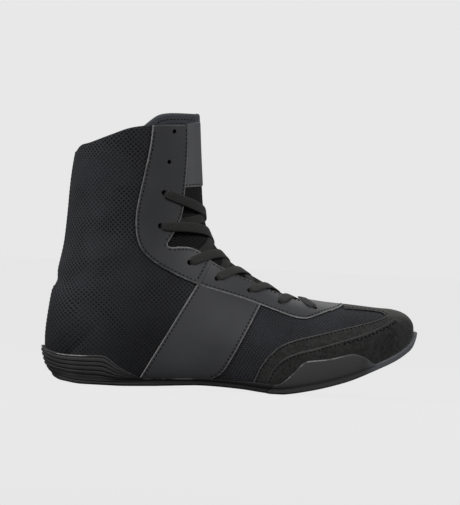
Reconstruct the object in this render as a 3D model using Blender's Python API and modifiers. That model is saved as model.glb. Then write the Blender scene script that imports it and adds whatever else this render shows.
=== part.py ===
"""High-top boxing shoe for the right foot, built piece by piece around the last that it is made on.

Sizes in the tables are millimetres in the shoe's own frame: x runs from heel to toe, y from the outer side
to the inner side, and z up from the floor. The origin is on the floor under the middle of the shoe.
"""

import math
from typing import NamedTuple

import bmesh
import bpy
import numpy as np

MM = 0.001

# Driving sizes of the shoe
GAP = 0.35
WALL = 2.0
OVERLAY = 1.0
FLOOR = 4.2
ARCH_RISE = 0.9
EYESTAY_LIFT = 0.45
CAP_LIFT = 0.5
INSOLE = 3.5
INSOLE_INSET = 3.0
TONGUE = 3.5
TONGUE_BULGE = 0.7
TONGUE_PATCH = 0.8

# Rubber cup of the sole
CUP_GAP = 0.9
CUP_GAP_FRONT = 2.2
CUP_LIP = 1.6
TREAD_BEVEL = 1.3
TREAD_MIDDLE = 0.55
INNER_WALL = (1.0, 0.7, 0.42, 0.24, 0.12, 0.05)
RIB_DEPTH = 0.8
RIB_COUNT = 4

# Lace and its punched eyelets
LACE_WIDTH = 7.0
LACE_THICKNESS = 1.3
LACE_REACH = 0.62  # how far over the far half of the throat a run still shows
LACE_END_TURN = 0.012  # by which a run ends short of its eyelet's middle
LACED_EYELETS = 7
EYELET_DIAMETER = 4.0
EYELET_SIDES = 8
PUNCH_LENGTH = 9.0


class Section(NamedTuple):
    """One cross-section of the last, in a plane that stands across the shoe."""

    low_x: float  # lower end, on the sole's edge or on the back seam
    low_z: float
    top_x: float  # upper end, on the ridge over toe, instep and shin
    top_z: float
    half_width: float  # at the widest point
    seat_width: float  # half width at the lower end, 0 where the section closes behind the heel
    centre_y: float  # how far the middle swings to the inner side
    widest: float  # share of the way up at which it is widest
    top_power: float  # roundness above the widest point: 2 is an ellipse, less is more peaked
    low_power: float  # roundness below it


SECTIONS = (
    # low_x  low_z  top_x  top_z  half  seat  centre widest top low
    Section(138.4, 51.2, 138.4, 51.2, 0.0, 0.0, 10.0, 0.40, 2.2, 2.2),
    Section(135.7, 43.6, 137.2, 58.0, 14.0, 11.5, 9.6, 0.40, 2.2, 2.2),
    Section(130.8, 38.3, 132.0, 63.6, 22.3, 19.3, 9.0, 0.40, 2.2, 2.2),
    Section(122.4, 32.3, 122.8, 66.6, 31.2, 28.2, 8.0, 0.38, 2.2, 2.2),
    Section(109.3, 25.5, 108.6, 67.4, 39.0, 35.7, 6.3, 0.36, 2.2, 2.2),
    Section(89.2, 16.2, 90.0, 68.8, 44.6, 41.2, 4.0, 0.34, 2.1, 2.2),
    Section(63.0, 8.4, 65.6, 70.4, 47.0, 43.6, 1.5, 0.32, 2.0, 2.2),
    Section(36.5, 4.1, 44.1, 74.2, 46.0, 42.4, -0.5, 0.30, 1.95, 2.2),
    Section(9.7, 6.2, 24.8, 83.6, 42.6, 38.6, -1.5, 0.30, 1.9, 2.2),
    Section(-16.9, 7.2, 7.8, 92.6, 39.4, 35.0, -1.8, 0.30, 1.9, 2.2),
    Section(-47.3, 6.2, -4.6, 101.6, 37.0, 32.4, -1.4, 0.31, 1.95, 2.25),
    Section(-77.6, 4.7, -11.8, 110.0, 35.8, 31.2, -0.8, 0.34, 2.05, 2.3),
    Section(-100.4, 4.3, -16.6, 117.2, 35.2, 30.0, -0.3, 0.38, 2.1, 2.4),
    Section(-118.0, 5.4, -19.6, 124.6, 34.8, 24.6, 0.0, 0.42, 2.15, 2.5),
    Section(-130.4, 9.7, -21.4, 131.3, 34.4, 0.0, 0.0, 0.45, 2.2, 2.6),
    Section(-136.9, 18.5, -22.4, 137.4, 34.0, 0.0, 0.0, 0.47, 2.2, 2.65),
    Section(-139.4, 32.8, -23.6, 145.7, 33.8, 0.0, 0.0, 0.48, 2.2, 2.6),
    Section(-135.8, 69.5, -25.2, 162.2, 33.8, 0.0, 0.0, 0.50, 2.25, 2.4),
    Section(-129.2, 107.9, -26.6, 176.5, 34.8, 0.0, 0.0, 0.52, 2.25, 2.25),
    Section(-126.6, 153.7, -27.9, 191.3, 36.4, 0.0, 0.0, 0.53, 2.25, 2.2),
    Section(-124.2, 176.6, -28.9, 203.0, 37.4, 0.0, 0.0, 0.53, 2.25, 2.2),
    Section(-122.0, 195.0, -30.2, 219.2, 38.2, 0.0, 0.0, 0.53, 2.25, 2.2),
)
LAST_ROW = len(SECTIONS) - 1
MIDDLE_Y = 1.34  # half way between the widest points of the sole, where the frame has y = 0
HEEL_ROW = 14  # the first section that closes behind the heel
WAIST_ROW = 11  # behind this section the cup of the sole fans out round the heel
RIM_BACK_ROW = 15.7  # where the cup's rim meets the back seam

# Outlines of the pieces, as points (x, z) seen from the side
COLLAR_LINE = ((-124.4, 175.6), (-119.5, 181.0), (-110.5, 184.4), (-92.6, 192.0), (-73.9, 197.4),
               (-56.0, 200.6), (-43.0, 201.6), (-29.8, 202.0))
THROAT_EDGE = ((-40.3, 202.0), (-39.5, 186.3), (-39.3, 168.1), (-39.9, 146.2), (-41.0, 131.0), (-46.0, 117.5),
               (-50.6, 109.4), (-48.0, 106.6), (-41.1, 107.2), (-33.0, 107.0), (-25.7, 104.1), (-17.0, 97.7),
               (-7.1, 92.0), (5.6, 86.4), (14.1, 83.6), (24.3, 79.4), (36.7, 74.2), (47.0, 71.4),
               (54.5, 70.2))
EYESTAY_EDGE = ((-66.0, 200.0), (-67.4, 181.5), (-70.5, 161.2), (-73.4, 144.3), (-75.2, 130.1),
                (-74.7, 117.9), (-72.4, 108.9), (-67.4, 100.9), (-58.7, 94.0), (-48.5, 88.5), (-26.7, 79.5),
                (6.5, 70.8), (21.9, 66.2), (36.6, 61.4), (46.7, 58.4), (57.4, 57.4), (64.9, 60.1),
                (73.0, 63.6), (81.3, 66.6), (86.6, 69.8))
SADDLE_BACK = ((-26.7, 79.0), (-46.0, 43.5), (-65.3, 8.4))
SADDLE_FRONT = ((21.9, 65.4), (12.9, 45.8), (3.7, 27.0), (-4.0, 14.2), (-9.4, 10.0))
CAP_EDGE = ((19.9, 8.5), (24.5, 20.0), (31.1, 29.4), (39.9, 37.1), (50.8, 41.7), (63.9, 45.4), (84.0, 51.1),
            (104.1, 56.7), (114.1, 60.3), (117.2, 63.0))
CAP_STRIP_EDGE = ((117.2, 63.0), (111.8, 65.2), (93.5, 66.2), (82.1, 66.2))
CUP_RIM = ((139.9, 51.6), (135.4, 44.4), (125.5, 35.6), (109.0, 27.3), (103.5, 28.6), (96.2, 32.3),
           (91.1, 33.1), (74.8, 28.7), (59.8, 26.3), (54.9, 23.0), (48.2, 15.1), (38.3, 7.4), (20.1, 8.0),
           (-20.7, 8.8), (-63.4, 7.0), (-67.6, 8.0), (-80.2, 12.3), (-87.8, 16.4), (-93.0, 19.8),
           (-99.7, 22.3), (-113.7, 21.6), (-126.1, 21.8), (-135.4, 24.4), (-139.6, 28.6))
TONGUE_TOP = ((-76.0, 196.0), (-70.3, 201.0), (-61.4, 206.4), (-52.4, 208.4), (-38.7, 208.8), (-31.7, 208.0))
TONGUE_SIDE = ((-76.0, 196.0), (-74.0, 160.0), (-72.0, 125.0), (-58.0, 101.0), (-20.0, 86.0), (20.0, 70.0),
               (52.0, 62.0))
PATCH_LOW_EDGE = ((-25.4, 153.8), (-33.0, 152.8), (-41.0, 151.2))
EYELETS = ((63.1, 65.2), (36.7, 68.4), (13.2, 76.2), (-11.7, 84.1), (-33.2, 95.4), (-56.6, 122.3),
           (-55.2, 147.5), (-52.7, 170.9), (-50.0, 194.0))
BAR_RIDGE = ((57.0, 71.2),)  # where the lowest run, drawn back by the lacing, meets the ridge
LACE_RIDGE = ((49.0, 73.0), (33.0, 79.3), (10.5, 90.8), (-6.0, 101.1), (-16.6, 117.2), (-21.8, 133.3))

# Thickness of the cup's wall by row: narrow at the toe, thick on the pad of the forefoot, plain at the waist
CUP_WALL = ((0.0, 2.0), (3.7, 2.0), (4.0, 2.9), (6.7, 2.9), (7.2, 2.2), (11.0, 2.2), (12.0, 2.5), (14.0, 2.5))
PAD_EDGE_ROW = 7.12  # where the pad of the forefoot ends in a step
PAD_EDGE_ROWS = 0.12  # over which it does
ARCH_END_ROW = 10.2
FOOT_SHARE = 0.3  # of the wall's thickness, by which the tread stands out from the last
BEVEL_SHARE = 0.8
UPRIGHT_TURN = 0.82  # below this turn the wall of the cup stands up instead of turning in

# Places that are shares of the last
COLLAR_FRONT_TURN = 0.16  # where the collar meets the throat
EYESTAY_TOP_TURNS = (0.17, 0.40)
EYESTAY_DROP = 0.03  # rows by which the eyestay ends below the collar
EYESTAY_INNER = (0.6, 0.9)  # the most of its turn that the throat takes, over the vamp and up the shaft
SADDLE_CLEAR = 0.012
THROAT_ROUND = 0.35  # rows by which the throat's lower end is rounded
TONGUE_ROOT = 0.45  # rows by which the tongue starts in front of the throat
TONGUE_SWELL = 0.9  # share of the throat that swells
VAMP_ROWS = 1.4  # behind the throat's end in which the tongue still lies deeper
PATCH_TOP_ROW = 20.1
PATCH_WIDTH = 0.8  # of the throat
CAP_TUCK = 0.86  # how far round the toe cap goes under the last
CAP_END = 0.04


def smooth(table, place):
    """Values of a table's columns at fractional rows, on a Catmull-Rom curve through the rows."""
    table = np.asarray(table, float)
    place = np.clip(np.asarray(place, float), 0, len(table) - 1)
    row = np.minimum(place.astype(int), len(table) - 2)
    share = (place - row)[..., None] if table.ndim > 1 else place - row
    before, after = table[np.maximum(row - 1, 0)], table[np.minimum(row + 2, len(table) - 1)]
    start, end = table[row], table[row + 1]
    slope_in = np.where(share * 0 + (row == 0).reshape(row.shape + (1,) * (share.ndim - row.ndim)),
                        end - start, (end - before) / 2)
    last = (row == len(table) - 2).reshape(row.shape + (1,) * (share.ndim - row.ndim))
    slope_out = np.where(share * 0 + last, end - start, (after - start) / 2)
    return (start * (1 + 2 * share) * (1 - share) ** 2 + slope_in * share * (1 - share) ** 2
            + end * share ** 2 * (3 - 2 * share) + slope_out * share ** 2 * (share - 1))


def section_at(row):
    """The last's section at fractional rows. Widths are smoothed as squares, to end round."""
    table = np.array(SECTIONS)
    widths = [Section._fields.index("half_width"), Section._fields.index("seat_width")]
    table[:, widths] **= 2
    values = smooth(table, row)
    values[..., widths] = np.sqrt(np.maximum(values[..., widths], 0))
    return Section(*np.moveaxis(values, -1, 0))


def last_point(row, turn):
    """Points of the last. turn runs from -1 at the outer lower end, over 0 at the ridge, to 1 inside."""
    row, turn = np.broadcast_arrays(np.asarray(row, float), np.asarray(turn, float))
    section = section_at(row)
    angle = np.abs(turn) * math.pi
    upper = angle <= math.pi / 2
    power = np.where(upper, section.top_power, section.low_power)
    rise = np.abs(np.cos(angle)) ** (2 / power)
    swell = np.sin(np.clip(angle, 0, math.pi)) ** (2 / power)
    height = np.where(upper, section.widest + (1 - section.widest) * rise, section.widest * (1 - rise))
    seat = np.where(upper, 0, np.minimum(section.seat_width, section.half_width))
    reach = seat + (section.half_width - seat) * swell
    x = section.low_x + height * (section.top_x - section.low_x)
    z = section.low_z + height * (section.top_z - section.low_z)
    return np.stack([x, section.centre_y - MIDDLE_Y + np.sign(turn) * reach, z], axis=-1)


def last_normal(row, turn, step=0.02):
    """Unit normals of the last's surface, pointing out of the shoe; straight ahead at the tip of the toe."""
    at_tip = np.broadcast_arrays(np.asarray(row, float) < 1e-6, turn)[0]
    row = np.clip(row, step, LAST_ROW - step)
    along = last_point(row + step, turn) - last_point(row - step, turn)
    inner = np.clip(turn, -1 + step, 1 - step)
    around = last_point(row, inner + step) - last_point(row, inner - step)
    normal = np.cross(around, along)
    normal = np.where(at_tip[..., None], (1.0, 0.0, 0.0), normal)
    return normal / np.linalg.norm(normal, axis=-1, keepdims=True)


def skin(row, turn, lift):
    """Points a distance off the last's surface."""
    row, turn, lift = np.broadcast_arrays(row, turn, lift)
    return last_point(row, turn) + last_normal(row, turn) * lift[..., None]


def locate(points):
    """(row, turn) of points of the side view, with turn counted from 0 at the ridge to 1."""
    rows = np.linspace(0.01, LAST_ROW, 4201)
    section = section_at(rows)
    across_x, across_z = section.top_x - section.low_x, section.top_z - section.low_z
    found = []
    for x, z in points:
        side = across_x * (z - section.low_z) - across_z * (x - section.low_x)
        height = ((x - section.low_x) * across_x + (z - section.low_z) * across_z) / np.maximum(
            across_x ** 2 + across_z ** 2, 1e-9)
        crossings = np.nonzero(side[:-1] * side[1:] <= 0)[0]
        outside = np.maximum(np.abs(height[crossings] - 0.5) - 0.5, 0)
        at = crossings[np.argmin(outside)] if len(crossings) else 0
        share = side[at] / (side[at] - side[at + 1]) if side[at] != side[at + 1] else 0.0
        row = rows[at] + share * (rows[at + 1] - rows[at])
        here = section_at(np.array(row))
        level = np.clip(height[at] + share * (height[at + 1] - height[at]), 0, 1)
        if level >= here.widest:
            angle = math.acos(((level - here.widest) / (1 - here.widest)) ** (here.top_power / 2))
        else:
            angle = math.pi - math.acos(((here.widest - level) / here.widest) ** (here.low_power / 2))
        found.append((row, angle / math.pi))
    return np.array(found)


def edge(points, steps=6):
    """(rows, turns) along a smooth outline of the side view, in rising order of rows."""
    places = np.linspace(0, len(points) - 1, (len(points) - 1) * steps + 1)
    found = locate(smooth(points, places))
    return found[np.argsort(found[:, 0], kind="stable")]


def turn_on(outline, row):
    """The outline's turn at given rows."""
    return np.interp(row, outline[:, 0], outline[:, 1])


THROAT = edge(THROAT_EDGE)
EYESTAY = edge(EYESTAY_EDGE)
COLLAR = edge(COLLAR_LINE)[:, ::-1]
COLLAR = COLLAR[np.argsort(COLLAR[:, 0])]
THROAT_ROW = THROAT[0, 0]


def new_object(name, mesh, material, collection):
    """A named object of one material in a collection."""
    obj = bpy.data.objects.new(name, mesh)
    collection.objects.link(obj)
    mesh.materials.append(material)
    mesh.shade_smooth()
    mesh.set_sharp_from_angle(angle=math.radians(35))
    return obj


def grid_mesh(name, points, keep=None, closed=False):
    """A mesh of the rows and columns of some points, welded where they meet; keep says which cells stay."""
    rows, columns = points.shape[0] - 1, points.shape[1] - 1
    bm = bmesh.new()
    bmesh.ops.create_grid(bm, x_segments=columns, y_segments=rows, size=1)
    cell = {}
    for vertex in bm.verts:
        row = round((vertex.co.y + 1) / 2 * rows)
        column = round((vertex.co.x + 1) / 2 * columns)
        cell[vertex] = row, column
        vertex.co = points[row, column] * MM
    if keep is not None:
        corners = {face: min(cell[vertex] for vertex in face.verts) for face in bm.faces}
        dropped = [face for face, corner in corners.items() if not keep[corner]]
        bmesh.ops.delete(bm, geom=dropped, context="FACES")
    bmesh.ops.remove_doubles(bm, verts=bm.verts, dist=0.02 * MM)
    if closed:
        bmesh.ops.recalc_face_normals(bm, faces=bm.faces)
        bmesh.ops.triangulate(bm, faces=bm.faces)
    mesh = bpy.data.meshes.new(name)
    bm.to_mesh(mesh)
    bm.free()
    return mesh


def thicken(obj, thickness, outwards):
    """Gives an open sheet its thickness, towards one side."""
    solidify = obj.modifiers.new("Thickness", "SOLIDIFY")
    solidify.thickness = thickness * MM
    solidify.offset = 1.0 if outwards else -1.0
    solidify.use_even_offset = True
    obj.modifiers.new("Triangles", "TRIANGULATE").quad_method = "BEAUTY"


def both_sides(turns):
    """Turns of the outer side, mirrored to the inner side, in one run of columns."""
    return np.concatenate([-turns[..., ::-1], turns[..., 1:]], axis=-1)


def collar_row(turn):
    """The row at which the collar's line cuts a column of the upper."""
    return np.interp(np.abs(turn), COLLAR[:, 0], COLLAR[:, 1])


def make_upper(material, collection):
    """The hollow upper: open at the collar, down the throat and underneath."""
    toe_rows = np.concatenate([np.linspace(0, 1, 4)[:-1], np.linspace(1, THROAT_ROW, 10)])
    shaft_rows = np.linspace(THROAT_ROW, LAST_ROW - 1, 28)[1:]
    rows = np.concatenate([toe_rows, shaft_rows])
    throat_at = len(toe_rows) - 1
    in_throat, on_side = 3, 12
    nominal = np.concatenate([np.linspace(0, 1, in_throat + 1)[:-1], 1 + np.linspace(0, 1, on_side + 1)])
    grid_row = np.zeros((len(rows), len(nominal)))
    grid_turn = np.zeros_like(grid_row)
    for i, row in enumerate(rows):
        for j, column in enumerate(nominal):
            here = row
            if row > HEEL_ROW:
                top = collar_row(COLLAR_FRONT_TURN + max(column - 1, 0) * (1 - COLLAR_FRONT_TURN))
                here = HEEL_ROW + (row - HEEL_ROW) / (rows[-1] - HEEL_ROW) * (top - HEEL_ROW)
            if column < 1:
                here -= THROAT_ROUND * (1 - column ** 2) * math.exp(-((i - throat_at) / 2) ** 2)
            edge_turn = turn_on(THROAT, max(here, THROAT_ROW))
            grid_row[i, j] = here
            grid_turn[i, j] = column * edge_turn if column < 1 else edge_turn + (column - 1) * (1 - edge_turn)
    turns = both_sides(grid_turn)
    all_rows = np.concatenate([grid_row[:, ::-1], grid_row[:, 1:]], axis=1)
    keep = np.ones((len(rows), turns.shape[1]), bool)
    middle = len(nominal) - 1
    keep[throat_at:, middle - in_throat:middle + in_throat] = False
    obj = new_object("upper", grid_mesh("upper", last_point(all_rows, turns), keep), material, collection)
    thicken(obj, WALL, outwards=False)
    return obj


def overlay(name, rows, turns, material, collection, keep=None, lift=GAP):
    """A piece of sheet that lies on the upper, given by the rows and turns of its grid."""
    obj = new_object(name, grid_mesh(name, skin(rows, turns, lift), keep), material, collection)
    thicken(obj, OVERLAY, outwards=True)
    return obj


def make_eyestay(material, collection):
    """The facing that carries the eyelets: up both sides of the throat and joined over the vamp."""
    tip_row = EYESTAY[0, 0]
    tip_rows = tip_row + 0.01 + (THROAT_ROW - tip_row - 0.01) * np.linspace(0, 1, 10) ** 2.4
    rows = np.concatenate([tip_rows, np.linspace(THROAT_ROW, LAST_ROW - 1, 24)[1:]])
    throat_at = len(tip_rows) - 1
    in_throat, on_side = 2, 3
    nominal = np.concatenate([np.linspace(0, 1, in_throat + 1)[:-1], 1 + np.linspace(0, 1, on_side + 1)])
    grid_row = np.zeros((len(rows), len(nominal)))
    grid_turn = np.zeros_like(grid_row)
    for i, row in enumerate(rows):
        for j, column in enumerate(nominal):
            here = row
            if row > HEEL_ROW:
                top = collar_row(np.interp(column, (1, 2), EYESTAY_TOP_TURNS)) - EYESTAY_DROP
                here = HEEL_ROW + (row - HEEL_ROW) / (rows[-1] - HEEL_ROW) * (top - HEEL_ROW)
            outer = turn_on(EYESTAY, here)
            most = np.interp(here, (THROAT_ROW, HEEL_ROW - 1), EYESTAY_INNER)
            inner = min(turn_on(THROAT, max(here, THROAT_ROW)), outer * most)
            grid_row[i, j] = here
            grid_turn[i, j] = column * inner if column < 1 else inner + (column - 1) * (outer - inner)
    turns = both_sides(grid_turn)
    all_rows = np.concatenate([grid_row[:, ::-1], grid_row[:, 1:]], axis=1)
    keep = np.ones((len(rows), turns.shape[1]), bool)
    middle = len(nominal) - 1
    keep[throat_at:, middle - in_throat:middle + in_throat] = False
    return overlay("eyestay", all_rows, turns, material, collection, keep, EYESTAY_LIFT)


def make_saddle(name, side, material, collection):
    """The panel over the arch on one side, from the eyestay down to the sole."""
    share = np.linspace(0, 1, 9)
    back = locate(smooth(SADDLE_BACK, share * (len(SADDLE_BACK) - 1)))
    front = locate(smooth(SADDLE_FRONT, share * (len(SADDLE_FRONT) - 1)))
    across = np.linspace(0, 1, 7)[:, None]
    rows = front[None, :, 0] * (1 - across) + back[None, :, 0] * across
    turns = front[None, :, 1] * (1 - across) + back[None, :, 1] * across
    top = turn_on(EYESTAY, rows) + SADDLE_CLEAR
    turns = np.maximum(turns, top)
    turns[:, 0] = top[:, 0]
    turns, rows = (turns[:, ::-1], rows[:, ::-1]) if side < 0 else (turns, rows)
    return overlay(name, rows, side * turns, material, collection)


def make_toe_cap(material, collection):
    """The suede cap: round the toe, back along the sole's edge and up the middle of the vamp."""
    low = edge(CAP_EDGE)
    strip = edge(CAP_STRIP_EDGE)
    tip_row = max(low[0, 0], strip[0, 0])
    tip_turn = turn_on(low, tip_row)
    back_row = np.interp(CAP_TUCK - CAP_END, low[-20:, 1], low[-20:, 0])
    strip_row = EYESTAY[0, 0] - 0.03
    rows = np.concatenate([np.linspace(0.0, tip_row, 9), np.linspace(tip_row, strip_row, 6)[1:],
                           back_row - (back_row - strip_row) * np.linspace(1, 0, 10)[1:] ** 2])
    strip_cells, side_cells = 4, 6
    turns = np.zeros((len(rows), strip_cells + side_cells + 2))
    for i, row in enumerate(rows):
        upper = turn_on(strip, row) if row > tip_row else tip_turn
        lower = turn_on(low, row) if row > tip_row else tip_turn
        turns[i, :strip_cells + 1] = np.linspace(0, 1, strip_cells + 1) * upper
        turns[i, strip_cells + 1:] = lower + np.linspace(0, 1, side_cells + 1) * (CAP_TUCK - lower)
    turns = both_sides(turns)
    keep = np.ones((len(rows), turns.shape[1]), bool)
    middle = turns.shape[1] // 2
    window = np.zeros(turns.shape[1], bool)
    window[[middle + strip_cells, middle - strip_cells - 1]] = True
    strip_part = np.zeros_like(window)
    strip_part[middle - strip_cells:middle + strip_cells] = True
    for i, row in enumerate(rows[:-1]):
        if row > tip_row - 1e-6:
            keep[i, window] = False
        if row > strip_row - 1e-6:
            keep[i, strip_part] = False
    return overlay("toe_cap", rows[:, None] + turns * 0, turns, material, collection, keep, CAP_LIFT)


def cup_stations():
    """Rows of the stations round the sole, from the toe to the back of the heel, and of their rims."""
    toe = [0.0, 0.3, 0.7]
    side = np.linspace(1.2, WAIST_ROW, 20)
    heel = WAIST_ROW + (HEEL_ROW - WAIST_ROW) * np.sin(np.linspace(0, math.pi / 2, 12)[1:])
    pad_edge = [PAD_EDGE_ROW, PAD_EDGE_ROW + PAD_EDGE_ROWS]
    rows = np.sort(np.concatenate([toe, side, pad_edge, heel]))
    rim = edge(CUP_RIM)
    fan = np.clip((rows - WAIST_ROW) / (HEEL_ROW - WAIST_ROW), 0, 1)
    rim_rows = np.where(rows > WAIST_ROW, WAIST_ROW + fan * (RIM_BACK_ROW - WAIST_ROW), rows)
    rim_turns = turn_on(rim, rim_rows)
    rim_turns[-1] = 1.0
    return rows, rim_rows, rim_turns


def make_outsole(material, collection):
    """The rubber cup sole: tread, ribbed heel, wrapped forefoot, and a floor that the upper stands on."""
    rows, rim_rows, rim_turns = cup_stations()
    heel_end = len(rows) - 1
    loop = np.concatenate([np.arange(len(rows)), np.arange(heel_end)[::-1]])
    side = np.concatenate([-np.ones(len(rows)), np.ones(heel_end)])
    rows, rim_rows, rim_turns = rows[loop], rim_rows[loop], rim_turns[loop]
    front = np.clip((WAIST_ROW - 1.5 - rows) / 2, 0, 1)
    gap = CUP_GAP + (CUP_GAP_FRONT - CUP_GAP) * front
    outer = gap + np.interp(rows, *zip(*CUP_WALL))
    ribbed = np.clip((rows - WAIST_ROW + 0.8) / 1.2, 0, 1)
    floor_z = last_point(rows, side)[:, 2] - GAP
    arch = np.clip((rows - PAD_EDGE_ROW) / PAD_EDGE_ROWS, 0, 1) * np.clip(ARCH_END_ROW - rows, 0, 1)
    tread_z = np.maximum(floor_z - FLOOR + ARCH_RISE * arch, 0)

    def wall_place(share):
        """Rows and turns on the wall at a share of the way from its foot to its rim."""
        return rows + (rim_rows - rows) * share, 1 + (rim_turns - 1) * share

    steps = np.linspace(0, 1, 61)
    climbs = np.array([last_point(wall_place(step)[0], side * wall_place(step)[1])[:, 2] for step in steps]).T
    climbs = (climbs - climbs[:, :1]) / np.maximum(climbs[:, -1:] - climbs[:, :1], 1e-6)

    def on_wall(level, push, z=None):
        """A ring on the wall at a share of its height, pushed off the last."""
        share = np.array([np.interp(level, climb, steps) if climb[-1] > 0 else level for climb in climbs])
        wall_rows, wall_turns = wall_place(share)
        points = last_point(wall_rows, side * wall_turns)
        upright = UPRIGHT_TURN + (1 - UPRIGHT_TURN) * np.clip(wall_rows - HEEL_ROW + 1, 0, 1)
        normal = last_normal(wall_rows, side * np.minimum(wall_turns, upright))
        normal[:, 2] = 0
        normal[heel_end, 1] = 0
        length = np.linalg.norm(normal, axis=1, keepdims=True)
        points += normal / length * (push / np.maximum(length[:, 0], 0.75))[:, None]
        points[:, 2] = np.maximum(points[:, 2], floor_z + CUP_LIP * level) if z is None else z
        return points

    def drawn_in(ring, share):
        """A ring drawn in towards the middle line."""
        middle = (ring + ring[::-1]) / 2
        return middle + (ring - middle) * share

    tread = on_wall(0, outer * FOOT_SHARE, tread_z)
    floor = on_wall(0, gap, floor_z)
    rings = [drawn_in(tread, 0), drawn_in(tread, TREAD_MIDDLE), tread,
             on_wall(0, outer * BEVEL_SHARE, tread_z + TREAD_BEVEL)]
    levels = np.linspace(0.08, 1, 2 * RIB_COUNT + 2)
    for number, level in enumerate(levels):
        groove = RIB_DEPTH * ribbed * (number % 2) * (level < 1)
        rings.append(on_wall(level, outer - groove))
    rings += [on_wall(level, gap) for level in INNER_WALL]
    rings += [floor, drawn_in(floor, TREAD_MIDDLE), drawn_in(floor, 0)]
    return new_object("outsole", grid_mesh("outsole", np.array(rings), closed=True), material, collection)


def make_insole(material, collection):
    """The loose insole on the floor of the sole, inside the turned-in edge of the upper."""
    rows = np.concatenate([[2.0, 2.15], np.linspace(2.4, HEEL_ROW - 0.8, 24)])
    section = section_at(rows)
    loop = np.concatenate([np.arange(len(rows)), np.arange(len(rows))[::-1], [0]])
    side = np.concatenate([-np.ones(len(rows)), np.ones(len(rows)), [-1.0]])
    half = np.maximum(section.seat_width - INSOLE_INSET, 0.5)[loop]
    x, y = section.low_x[loop], section.centre_y[loop] - MIDDLE_Y
    low = section.low_z[loop]
    rings = [np.stack([x, y, low], axis=1), np.stack([x, y + side * half, low], axis=1),
             np.stack([x, y + side * half, low + INSOLE], axis=1), np.stack([x, y, low + INSOLE], axis=1)]
    return new_object("insole", grid_mesh("insole", np.array(rings), closed=True), material, collection)


def tongue_grid(low_row, steps, side_cells):
    """Rows and turns of the tongue, from its root over the vamp to its rounded top."""
    side = edge(TONGUE_SIDE)
    top = edge(TONGUE_TOP)
    top = top[np.argsort(top[:, 1])]
    share = np.linspace(0, 1, side_cells + 1)
    rows = np.zeros((steps + 1, side_cells + 1))
    turns = np.zeros_like(rows)
    for j, part in enumerate(share):
        high = np.interp(part * side[-1, 1], top[:, 1], top[:, 0])
        rows[:, j] = np.linspace(low_row, high, steps + 1)
        turns[:, j] = part * turn_on(side, rows[:, j])
    return np.concatenate([rows[:, ::-1], rows[:, 1:]], axis=1), both_sides(turns)


def tongue_lift(rows, turns):
    """How far the tongue's face lies off the last: inside the upper, and swelling into the throat."""
    share = np.clip(np.abs(turns) / (turn_on(THROAT, rows) * TONGUE_SWELL), 0, 1)
    under_vamp = np.clip(THROAT_ROW + VAMP_ROWS - rows, 0, 1)
    return -WALL - (2 + under_vamp) * GAP + TONGUE_BULGE * (1 - under_vamp) * (1 - share ** 2) ** 2


def make_tongue(material, collection):
    """The padded tongue, which lies inside the upper and shows in the throat."""
    rows, turns = tongue_grid(THROAT_ROW - TONGUE_ROOT, 20, 5)
    points = skin(rows, turns, tongue_lift(rows, turns))
    obj = new_object("tongue", grid_mesh("tongue", points), material, collection)
    thicken(obj, TONGUE, outwards=False)
    return obj


def make_tongue_patch(material, collection):
    """The leather patch on the tongue's upper half, as wide as the throat leaves free."""
    low = edge(PATCH_LOW_EDGE)
    share = np.linspace(-1, 1, 9)[None, :]
    width = PATCH_WIDTH * turn_on(THROAT, LAST_ROW)
    low_rows = np.interp(np.abs(share) * width, low[:, 1], low[:, 0])
    up = np.linspace(0, 1, 9)[:, None]
    rows = low_rows * (1 - up) + PATCH_TOP_ROW * up
    turns = width * share + 0 * rows
    points = skin(rows, turns, tongue_lift(rows, turns) + GAP)
    obj = new_object("tongue_patch", grid_mesh("tongue_patch", points), material, collection)
    thicken(obj, TONGUE_PATCH, outwards=True)
    return obj


def band(name, path, lifts, width, collection):
    """A flat band along a path of (row, turn) places, as a solid."""
    rows, turns = path[:, 0], path[:, 1]
    centre = skin(rows, turns, lifts)
    normal = last_normal(rows, turns)
    ahead = np.gradient(centre, axis=0)
    across = np.cross(ahead, normal)
    across /= np.linalg.norm(across, axis=1, keepdims=True)
    points = np.stack([centre - across * width / 2, centre + across * width / 2], axis=1)
    obj = bpy.data.objects.new(name, grid_mesh(name, points))
    collection.objects.link(obj)
    thicken(obj, LACE_THICKNESS, outwards=True)
    return obj


def solid_mesh(obj):
    """The object's finished mesh, with its modifiers in it. The object itself is removed."""
    bpy.context.view_layer.update()
    mesh = bpy.data.meshes.new_from_object(obj.evaluated_get(bpy.context.evaluated_depsgraph_get()))
    bpy.data.objects.remove(obj)
    return mesh


def as_cutter(obj):
    """Marks a helper that only cuts or joins other pieces."""
    obj.hide_render = True
    obj.display_type = "WIRE"
    return obj


def crossing_path(near, far, ridge_row, count):
    """Places along a run of the lace, from an eyelet over the ridge at a row towards the far eyelet below.

    How far the run has come along the ridge is a quadratic of its turn, through both eyelets and the ridge.
    """
    direction = last_point(ridge_row - 0.2, 0) - last_point(ridge_row + 0.2, 0)
    direction /= np.linalg.norm(direction)
    at_near, at_ridge, at_far = (last_point(*place) @ direction for place in (near, (ridge_row, 0), far))
    slope_near, slope_far = (at_ridge - at_near) / near[1], (at_far - at_ridge) / far[1]
    bend = (slope_far - slope_near) / (near[1] + far[1])
    far_turn = LACE_REACH * turn_on(THROAT, (ridge_row + far[0]) / 2)
    turns = np.linspace(-near[1] + LACE_END_TURN, far_turn, count)
    wanted = at_ridge + (slope_near + bend * near[1]) * turns + bend * turns ** 2
    rows = np.linspace(THROAT_ROW - 1, LAST_ROW, 600)
    reached = last_point(rows[:, None], turns[None, :]) @ direction
    found = [np.interp(-reach, -column, rows) for reach, column in zip(wanted, reached.T)]
    return np.array(found), turns


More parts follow.
